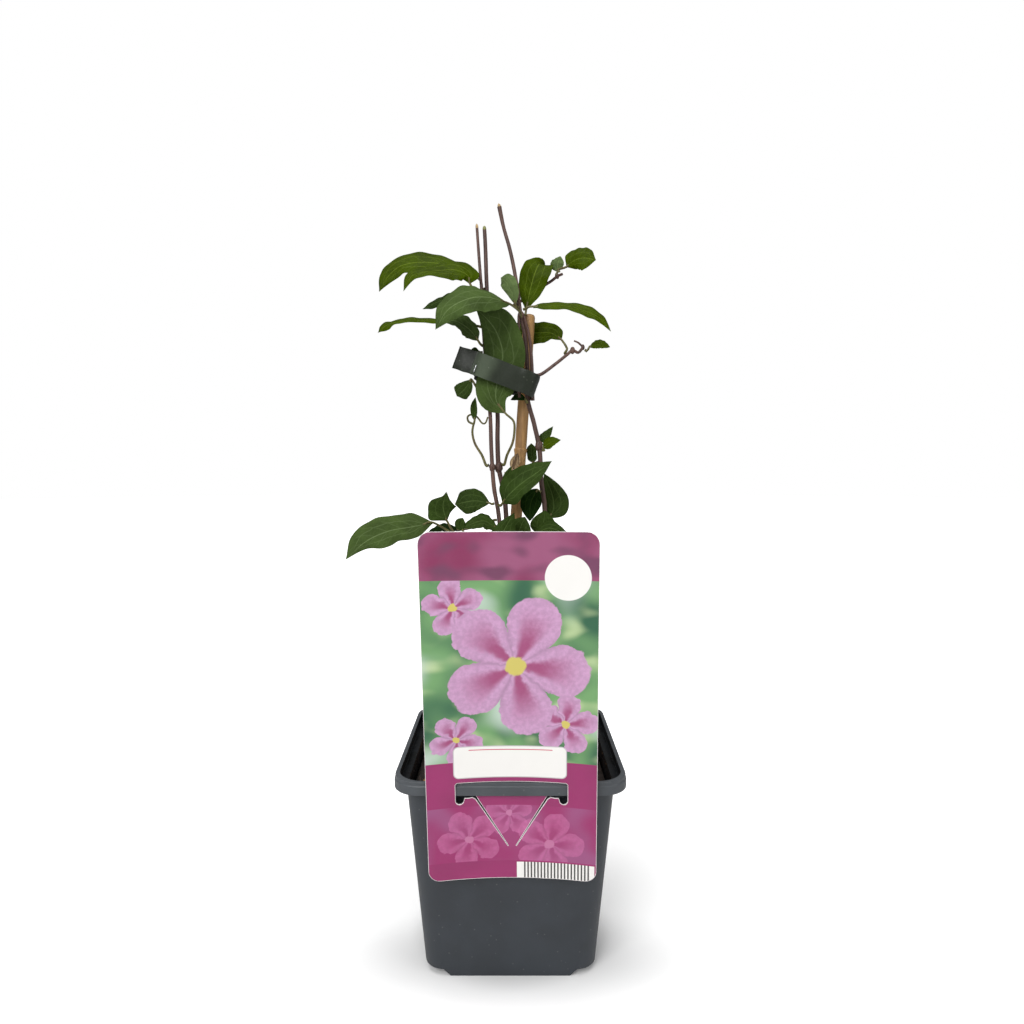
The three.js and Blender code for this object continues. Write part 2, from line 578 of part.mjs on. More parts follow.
// The widest that a carrier is round a height, with a swollen joint counted where there is one.
function carrierRadius(name, height, share) {
  const { radius } = carriers[name];
  let widest = radius[0] + (radius[1] - radius[0]) * share;
  const swell = (place, size) => {
    if (Math.abs(place - height) < size * JOINT_STRETCH + STALK_RADIUS) widest = Math.max(widest, size);
  };
  for (const [where, joint, size] of STEM_JOINTS) {
    if (where === name) swell(joint, size);
  }
  for (const [, , z, size] of SIDE_STEMS[name]?.buds ?? []) swell(z, size);
  return widest;
}

// The first two points of what grows from a carrier at a height, towards a place.
function rootOf(name, height, towards) {
  const { point, share } = atHeight(carriers[name].curve, height);
  const along = carriers[name].curve.getTangent(share);
  const outward = vector(towards).sub(point).projectOnPlane(along).normalize();
  const seat = carrierRadius(name, height, share) + GAP;
  return [seat, seat + ROOT_LENGTH].map((reach) => point.clone().addScaledVector(outward, reach));
}

const makeTendril = (points) => solid(tube(curveThrough(points), TENDRIL_RADII, STALK_SIDES, TENDRIL_STEP));

function makeSideStem(name) {
  const { from, points, buds, tendril } = SIDE_STEMS[name];
  const start = rootOf('right', from, points[0]).map((p) => p.toArray());
  const curve = curveThrough([...start, ...points]);
  carriers[name] = { curve, radius: [TWIG_RADIUS, TWIG_RADIUS] };
  let twig = solid(tube(curve, [TWIG_RADIUS, TWIG_RADIUS], 6, STALK_STEP));
  for (const [x, y, z, radius] of buds) twig = twig.add(knob([x, y, z], radius));
  return tendril ? twig.add(makeTendril(tendril)) : twig;
}

// ---- leaves ----------------------------------------------------------------------------------------------

// How far a blade reaches to the left (-1) or right (1) of its rib at a share of its length. A plain one is
// rounded at the base and drawn out at the tip.
function bladeReach({ width, widest, edges }, side, share) {
  if (edges) {
    const reaches = [0, ...edges[side < 0 ? 0 : 1], 0];
    const edge = new THREE.SplineCurve(reaches.map((reach, i) => new THREE.Vector2(i, reach)));
    return Math.max(BLADE_LEAST, edge.getPoint(share).y);
  }
  const bent = share ** (Math.log(0.5) / Math.log(widest));
  return Math.max(BLADE_LEAST, (width / 2) * Math.sin(Math.PI * bent) ** 0.85);
}

// A thin blade: the same grid on its upper and lower side, joined round the edge.
function bladeGeometry(leaf) {
  const { rib, face, cup, wave } = leaf;
  const width = leaf.width ?? Math.max(...leaf.edges[0]) + Math.max(...leaf.edges[1]);
  const curve = curveThrough(rib);
  const along = THREE.MathUtils.clamp(Math.round(curve.getLength() / 5), 5, 10);
  const across = width > 8 ? 4 : 2;
  const vertices = [];
  for (const side of [1, -1]) {
    for (let i = 0; i <= along; i += 1) {
      const share = i / along;
      const middle = curve.getPoint(share);
      const ahead = curve.getTangent(share);
      const sideways = new THREE.Vector3().crossVectors(ahead, vector(face)).normalize();
      const normal = new THREE.Vector3().crossVectors(sideways, ahead).normalize();
      for (let j = 0; j <= across; j += 1) {
        const out = (2 * j) / across - 1;
        const reach = bladeReach(leaf, out, share);
        const bend = cup * out * out + wave * Math.abs(out) * Math.sin(share * WAVE_TURN + out);
        const lift = Math.min(1, reach / (width / 2)) * bend;
        const point = middle.clone().addScaledVector(sideways, out * reach);
        point.addScaledVector(normal, lift + (side * BLADE_THICK) / 2);
        vertices.push(...point.toArray());
      }
    }
  }
  const row = across + 1;
  const sheet = row * (along + 1);
  const triangles = [];
  const quad = (a, b, c, d) => triangles.push(a, c, b, a, d, c);
  for (let i = 0; i < along; i += 1) {
    for (let j = 0; j < across; j += 1) {
      const corner = i * row + j;
      quad(corner, corner + row, corner + row + 1, corner + 1);
      const under = corner + sheet;
      triangles.push(under, under + row, under + row + 1, under, under + row + 1, under + 1);
    }
  }
  const wall = (a, b) => quad(a, b, b + sheet, a + sheet);
  for (let j = 0; j < across; j += 1) {
    wall(j, j + 1);
    wall(along * row + j + 1, along * row + j);
  }
  for (let i = 0; i < along; i += 1) {
    wall((i + 1) * row, i * row);
    wall(i * row + across, (i + 1) * row + across);
  }
  const geometry = new THREE.BufferGeometry();
  geometry.setAttribute('position', new THREE.Float32BufferAttribute(vertices, 3));
  geometry.setIndex(triangles);
  return geometry;
}

function makeLeaf(leaf) {
  const { stem, at, stalk, rib } = leaf;
  const curve = curveThrough(rib);
  const root = rootOf(stem, at, stalk[0] ?? rib[0]).map((p) => p.toArray());
  const path = curveThrough([...root, ...stalk, rib[0], curve.getPoint(0.12).toArray()]);
  const stalkRadii = [STALK_RADIUS, STALK_RADIUS];
  const body = solid(tube(path, stalkRadii, STALK_SIDES, STALK_STEP)).add(solid(bladeGeometry(leaf)));
  return leaf.tendril ? body.add(makeTendril(leaf.tendril)) : body;
}

// ---- tie, staple and label -------------------------------------------------------------------------------

const TIE_FRONT = -TIE_HALF_DEPTH;

// The loop as seen from above, cut out of a rounded oblong, with the tab reaching out to the left in front.
function makeTie() {
  const outline = (grow) => {
    const x = TIE_HALF_LENGTH + grow;
    const y = TIE_HALF_DEPTH + grow;
    const r = TIE_ROUND + grow;
    const shape = new THREE.Shape();
    shape.absarc(x - r, y - r, r, 0, Math.PI / 2);
    shape.absarc(-x + r, y - r, r, Math.PI / 2, Math.PI);
    shape.absarc(-x + r, -y + r, r, Math.PI, Math.PI * 1.5);
    shape.absarc(x - r, -y + r, r, Math.PI * 1.5, Math.PI * 2);
    return shape;
  };
  const settings = { depth: TIE_HEIGHT, steps: 1, bevelEnabled: false, curveSegments: 5 };
  const bore = new THREE.ExtrudeGeometry(outline(0), { ...settings, depth: TIE_HEIGHT + 2 });
  const loop = solid(new THREE.ExtrudeGeometry(outline(TIE_THICK), settings))
    .subtract(solid(bore.translate(0, 0, -1)));
  const tab = new THREE.BoxGeometry(TAB_LENGTH, TIE_THICK, TIE_HEIGHT);
  tab.rotateZ(THREE.MathUtils.degToRad(TAB_TURN));
  tab.translate(-TIE_HALF_LENGTH - TAB_LENGTH / 2 + TAB_LAP, TIE_FRONT + TAB_BACK, TIE_HEIGHT / 2);
  let tie = loop.add(solid(tab));
  for (const side of [-1, 1]) {
    const hole = new THREE.BoxGeometry(STAPLE_WIRE + 2 * GAP, 8, STAPLE_WIRE + 2 * GAP);
    hole.translate(STAPLE_X, TIE_FRONT, STAPLE_HEIGHT + side * STAPLE_HALF);
    tie = tie.subtract(solid(hole));
  }
  return tie;
}

// Crown in front of the tab, two legs through it.
function makeStaple() {
  const front = TIE_FRONT - STAPLE_FRONT;
  const legMiddle = front + (STAPLE_LEG - STAPLE_WIRE) / 2;
  const crown = new THREE.BoxGeometry(STAPLE_WIRE, STAPLE_WIRE, STAPLE_HALF * 2 + STAPLE_WIRE);
  let staple = solid(crown.translate(STAPLE_X, front, STAPLE_HEIGHT));
  for (const side of [-1, 1]) {
    const wire = new THREE.BoxGeometry(STAPLE_WIRE, STAPLE_LEG, STAPLE_WIRE);
    wire.translate(STAPLE_X, legMiddle, STAPLE_HEIGHT + side * STAPLE_HALF);
    staple = staple.add(solid(wire));
  }
  return staple;
}

// How far forward the card's middle surface is at a height and a distance from its middle line.
function cardY(x, height) {
  const lean = CARD_FRONT_AT_RIM - CARD_LEAN * (height - RIM_TOP);
  const cup = CARD_CUP * (1 - CARD_CUP_LOSS * Math.abs(height - RIM_TOP));
  return lean + cup * (1 - (x / CARD_HALF) ** 2);
}

const TONGUE_DROP = TONGUE_TOP_Y - cardY(0, LIP_BOTTOM);

// The tongue is pressed back under the lip, more towards its free end.
function tongueY(x, height) {
  const free = THREE.MathUtils.clamp((height - TONGUE_NECK) / (LIP_BOTTOM - TONGUE_NECK), 0, 1);
  return cardY(x, height) + TONGUE_DROP * free;
}

function bentSheet(half, low, high, surface, columns, rows) {
  const box = new THREE.BoxGeometry(half * 2, CARD_THICK, high - low, columns, 1, rows);
  box.translate(0, 0, (low + high) / 2);
  return reshape(box, (point) => {
    point.y += surface(point.x, point.z);
  });
}

// A flat outline in x and height, drawn out along y through the whole card.
function cutter(shape) {
  const settings = { depth: CUTTER_DEPTH, bevelEnabled: false, curveSegments: 5 };
  const geometry = new THREE.ExtrudeGeometry(shape, settings);
  return solid(geometry.rotateX(Math.PI / 2).translate(0, CUTTER_BACK, 0));
}

function cardOutline() {
  const shape = new THREE.Shape();
  const side = CARD_HALF - CARD_CORNER;
  const right = Math.PI / 2;
  shape.absarc(side, CARD_TOP - CARD_CORNER, CARD_CORNER, 0, right);
  shape.absarc(-side, CARD_TOP - CARD_CORNER, CARD_CORNER, right, 2 * right);
  shape.absarc(-side, CARD_BOTTOM + CARD_CORNER, CARD_CORNER, 2 * right, 3 * right);
  shape.absarc(side, CARD_BOTTOM + CARD_CORNER, CARD_CORNER, 3 * right, 4 * right);
  return shape;
}

// The slot with a round lobe at each end, and the V that frees the tongue.
function slotOutline() {
  const shape = new THREE.Shape();
  const lobe = SLOT_LOBE / 2;
  const lobeX = SLOT_HALF - lobe;
  const shoulder = TONGUE_HALF + 1.2;
  shape.moveTo(-SLOT_HALF, SLOT_TOP);
  shape.lineTo(-SLOT_HALF, SLOT_FOOT + lobe);
  shape.absarc(-lobeX, SLOT_FOOT + lobe, lobe, Math.PI, Math.PI * 2);
  shape.quadraticCurveTo(-lobeX + lobe, SLOT_SHOULDER, -shoulder, SLOT_SHOULDER);
  shape.lineTo(-TONGUE_HALF, SLOT_SHOULDER - 0.8);
  shape.lineTo(-TONGUE_NECK_HALF, TONGUE_NECK);
  shape.lineTo(TONGUE_NECK_HALF, TONGUE_NECK);
  shape.lineTo(TONGUE_HALF, SLOT_SHOULDER - 0.8);
  shape.lineTo(shoulder, SLOT_SHOULDER);
  shape.quadraticCurveTo(lobeX - lobe, SLOT_SHOULDER, lobeX - lobe, SLOT_FOOT + lobe);
  shape.absarc(lobeX, SLOT_FOOT + lobe, lobe, Math.PI, Math.PI * 2);
  shape.lineTo(SLOT_HALF, SLOT_TOP);
  return shape;
}

function tongueOutline() {
  const top = LIP_BOTTOM - GAP;
  const half = TONGUE_HALF - TONGUE_SLIT - 0.4;
  const neck = TONGUE_NECK_HALF - TONGUE_SLIT;
  const shape = new THREE.Shape();
  shape.moveTo(-half, top);
  shape.lineTo(-neck, TONGUE_NECK - 1);
  shape.lineTo(neck, TONGUE_NECK - 1);
  shape.lineTo(half, top);
  return shape;
}

function makeCard() {
  const sheet = solid(bentSheet(CARD_HALF, CARD_BOTTOM, CARD_TOP, cardY, 12, 6));
  const flap = solid(bentSheet(TONGUE_HALF + 2, TONGUE_NECK - 2, LIP_BOTTOM, tongueY, 6, 3));
  const tongue = flap.intersect(cutter(tongueOutline()));
  return sheet.intersect(cutter(cardOutline())).subtract(cutter(slotOutline())).add(tongue);
}

// ---- the plant -------------------------------------------------------------------------------------------

const model = new THREE.Group();

const pottery = new THREE.Group();
const holes = [makeCaneHole(), ...Object.values(STEMS).map((stem) => stemSolid(stem, GAP))];
pottery.add(part('pot', makePot(), 'pot'), part('soil', makeSoil(holes), 'soil'));
model.add(pottery);

const cane = part('bamboo_cane', caneForm(0), 'cane');
placeOnCane(cane);
model.add(cane);

const plant = new THREE.Group();
for (const name of Object.keys(STEMS)) plant.add(part(`stem_${name}`, makeStem(name), 'stem'));
for (const name of Object.keys(SIDE_STEMS)) plant.add(part(name, makeSideStem(name), 'stem'));
for (const [name, leaf] of Object.entries(LEAVES)) {
  plant.add(part(name, makeLeaf(leaf), name === 'dry_leaf' ? 'dry' : 'leaf'));
}
model.add(plant);

const binding = new THREE.Group();
binding.add(part('tape_tie', makeTie(), 'tie'), part('staple', makeStaple(), 'staple'));
binding.position.copy(vector(TIE_CENTRE));
binding.rotation.y = THREE.MathUtils.degToRad(TIE_SLOPE);
for (const piece of binding.children) piece.position.z = -TIE_HEIGHT / 2;
model.add(binding);

const card = part('label_card', makeCard(), 'card');
card.position.x = CARD_X;
model.add(card);

export default model;
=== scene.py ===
"""A young clematis plant in a square nursery pot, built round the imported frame.

Tables and meshes are in millimetres. A piece is scaled to the frame's metres when it is settled.
"""
import math
import random

import bmesh
import bpy
from bpy.props import FloatProperty, FloatVectorProperty, IntProperty, PointerProperty
from mathutils import Matrix, Vector, noise


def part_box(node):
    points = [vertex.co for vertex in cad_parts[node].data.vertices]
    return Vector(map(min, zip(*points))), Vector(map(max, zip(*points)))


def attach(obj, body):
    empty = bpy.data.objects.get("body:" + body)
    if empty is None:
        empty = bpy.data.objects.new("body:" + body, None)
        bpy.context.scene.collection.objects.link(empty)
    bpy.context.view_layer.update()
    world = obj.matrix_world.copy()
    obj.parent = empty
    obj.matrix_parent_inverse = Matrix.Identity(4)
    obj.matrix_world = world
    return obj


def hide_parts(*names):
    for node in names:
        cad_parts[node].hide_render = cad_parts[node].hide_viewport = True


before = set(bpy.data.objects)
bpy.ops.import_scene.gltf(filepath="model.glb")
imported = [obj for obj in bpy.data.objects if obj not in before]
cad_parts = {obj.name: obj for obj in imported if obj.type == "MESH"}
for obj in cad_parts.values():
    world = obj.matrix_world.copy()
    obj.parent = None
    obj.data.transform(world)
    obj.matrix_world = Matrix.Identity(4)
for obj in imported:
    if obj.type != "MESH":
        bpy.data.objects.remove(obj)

bl_info = {
    "name": "Potted clematis plant",
    "version": (1, 0, 0),
    "blender": (4, 5, 0),
    "location": "View3D > Sidebar > Plant",
    "description": "Builds a young climbing plant in its nursery pot, with cane, tie and label card",
    "category": "Add Mesh",
}

MM = 0.001
BODY = "root"


def paint(red, green, blue):
    """A colour as a screen shows it, 0 to 255 each, in the linear values that shaders take."""
    parts = [value / 255 for value in (red, green, blue)]
    linear = [part / 12.92 if part <= 0.04045 else ((part + 0.055) / 1.055) ** 2.4 for part in parts]
    return (*linear, 1.0)


def corner(node, index):
    """The lowest (0) or highest (1) corner of a frame node, in millimetres."""
    return Vector(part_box(node)[index]) / MM


# ---- sizes, read from the frame where it has them ------------------------------------------------

RIM_HALF = corner("pot", 1).x
RIM_TOP = corner("pot", 1).z
LIP_BOTTOM = RIM_TOP - 5
LIP_THICK = 2.0
WALL_TOP_HALF = 40.6
BASE_HALF = 33.8
WALL_THICK = 1.1
LEDGE_TOP = LIP_BOTTOM + 1.2
FLOOR_TOP = 4.4
CORNER_SHARE = 0.235
FOOT_HALF = 23.5
CORNER_RAISE = 2.8
BEAD_INSET = 0.28  # how far the lip steps in near its top
BEAD_FOOT = 1.7  # where that step begins and ends, down from the top
BEAD_SHOULDER = 1.35
DRAIN_PLACE = 23.0
DRAIN_RADIUS = 3.0
SOIL_TOP = 73.0
SOIL_RINGS = 26

CANE_BOTTOM = Vector((-7.2, 4, 30))
CANE_TOP = Vector((8, 4, 265))
CANE_RADIUS = 2.5
CANE_NODES = (60, 178)
# A joint of the cane: how far above its middle, and how far the skin stands out there.
CANE_JOINT = [(-3, 0), (-1.4, 0.12), (-0.3, 0.35), (0.2, 0.3), (0.6, -0.08), (1.6, 0)]
# The cane's rounded top: how far below the end, and the share of the radius there.
CANE_END = [(1.6, 1), (0.8, 0.93), (0.25, 0.76), (0, 0.4)]

CARD_X = (corner("label_card", 0).x + corner("label_card", 1).x) / 2
CARD_HALF = 31.4
CARD_BOTTOM = corner("label_card", 0).z
CARD_TOP = corner("label_card", 1).z
CARD_THICK = 0.6
CARD_CORNER = 4.5
CARD_FRONT_AT_RIM = -48.2
CARD_LEAN = 0.1054
CARD_CUP = 4.6
CARD_CUP_LOSS = 0.006
CARD_STRAY = 0.0105  # how far the card strays to the left for each mm of height above its foot
CARD_SPREAD = 0.00009  # how much wider it lies open for each mm of height above its foot
CARD_MARGIN = 0.16  # bare stock along every cut edge
SLOT_HALF = 20.8
SLOT_TOP = RIM_TOP + 0.3
SLOT_FOOT = 74.2
SLOT_LOBE = 3.0
SLOT_SHOULDER = LIP_BOTTOM - 0.6
TONGUE_HALF = 13.4
TONGUE_NECK_HALF = 1.6
TONGUE_NECK = 57.0
TONGUE_SLIT = 0.15
TONGUE_TOP_Y = -42.6

TIE_CENTRE = Vector((-1.6, -1.2, 237.5))
TIE_SLOPE = math.radians(20)
TIE_HEIGHT = 9.5
STAPLE_PLACE = Vector((-12.8, 0, -2.2))  # from the middle of the tie
STAPLE_HALF = 1.5
STAPLE_WIRE = 0.5
SHEEN_AT = 0.07  # where along the tape its painted sheen, a highlight on its fold, lies
TAB_FROM = 0.84  # where along the tape its tab begins, painted darker from there on

STALK_RADIUS = 0.55
TWIG_RADIUS = 0.7
SEAT_GAP = 0.3  # between a piece and what it stands on or grows from
VEIN_FOLD = 0.5  # how deep a blade is folded along its middle vein
VEIN_BRANCHES = 7.0  # side veins along each half of a blade
LEAF_GLOSS = 0.02
WAVE_TURN = 15  # how far a blade's waves turn from base to tip, in radians
RIPPLE_TURN = 37  # the same for the small ripples of its edge
SHARP_EDGE = math.radians(42)  # an edge that turns more than this is shaded sharp

# Main stems from the soil up: radius at the foot and at the tip, and the points that each passes.
STEMS = {
    "left": ((1.1, 0.6), [
        (-2, -7, 45), (-2.5, -6.5, 80), (-3, -6, 120), (-3.5, -5, 161), (-5, -5, 180), (-7, -5, 192),
        (-8, -5, 207), (-8.5, -5, 222), (-10, -5, 240), (-11.5, -4, 260), (-12, -4, 273), (-13, -3, 286),
        (-14, -3, 300.5)]),
    "middle": ((1.2, 0.8), [
        (3, -3, 45), (2, -3, 80), (0, -2.5, 120), (-1, -2, 160), (-2, -2, 181), (-3, -2, 190), (-5, -2, 200),
        (-5.5, -2, 211), (-5.5, -2, 223), (-7, -1.5, 240), (-9, -1, 260), (-10, 0, 276), (-10.5, 1, 291),
        (-11, 1, 301)]),
    "right": ((1.2, 0.72), [
        (10, -3, 45), (11, -2.5, 80), (13.5, -1.5, 120), (15, -1, 160), (14.5, -1, 182), (13, -1, 194),
        (12.3, -1, 207), (10, -1, 218), (7.1, -1, 229.5), (7, -1, 243), (6, -1, 255), (4.2, -1, 264),
        (2.5, 0, 277), (0, 1, 290), (-3, 2, 301), (-5, 2, 310.5)]),
}
# Swollen joints: stem, height, radius.
STEM_JOINTS = [
    ("left", 200, 1.3), ("middle", 200, 1.7), ("right", 209, 1.6), ("right", 263, 1.5),
    ("middle", 160, 1.7), ("left", 168, 1.4), ("right", 176, 1.6)]
# Side stems: height on the right stem, points, buds with their radius, and the points of a tendril.
SIDE_STEMS = {
    "side_stem_right": (
        238.6, [(12.9, -2, 239), (18.5, -2, 243), (23.5, -1.5, 247), (26, -1, 249), (28.5, -0.5, 248.2),
                (30.5, 0, 250.5)],
        [(26, -1, 249, 1.2), (30.5, 0, 250.5, 0.9)],
        [(30.5, 0, 250.5), (28.6, 0.4, 252.4), (26.8, 0.8, 253.3)]),
    "side_stem_top": (
        268, [(1.5, 2.5, 268.5), (3, 6.5, 270.5), (8, 9, 273.5), (14, 9, 278), (17.5, 8, 280), (20, 6, 281.5),
              (22, 4.5, 282)],
        [(20, 6, 281.5, 0.9)], ()),
}


def leaf(stem, at, stalk, rib, size, face, widest=0.45, cup=0.0, wave=0.0, finish="lower", tendril=()):
    """One row of the table of leaves.

    stem and at are what the stalk grows from and its height there; stalk lists the points on its way to the
    blade. rib is the blade's middle line from base to tip, face the way its upper side looks. size is the
    full width, with widest where along the rib it is; or how far the left and the right half reach at each
    fifth of the rib. cup lifts both edges, wave ruffles them, finish names its material, and tendril lists
    the points of one that grows from it.
    """
    edges = size if isinstance(size, tuple) else ()
    width = max(size[0]) + max(size[1]) if edges else size
    return dict(stem=stem, at=at, stalk=stalk, rib=rib, edges=edges, width=width, face=face, widest=widest,
                cup=cup, wave=wave, finish=finish, tendril=tendril)


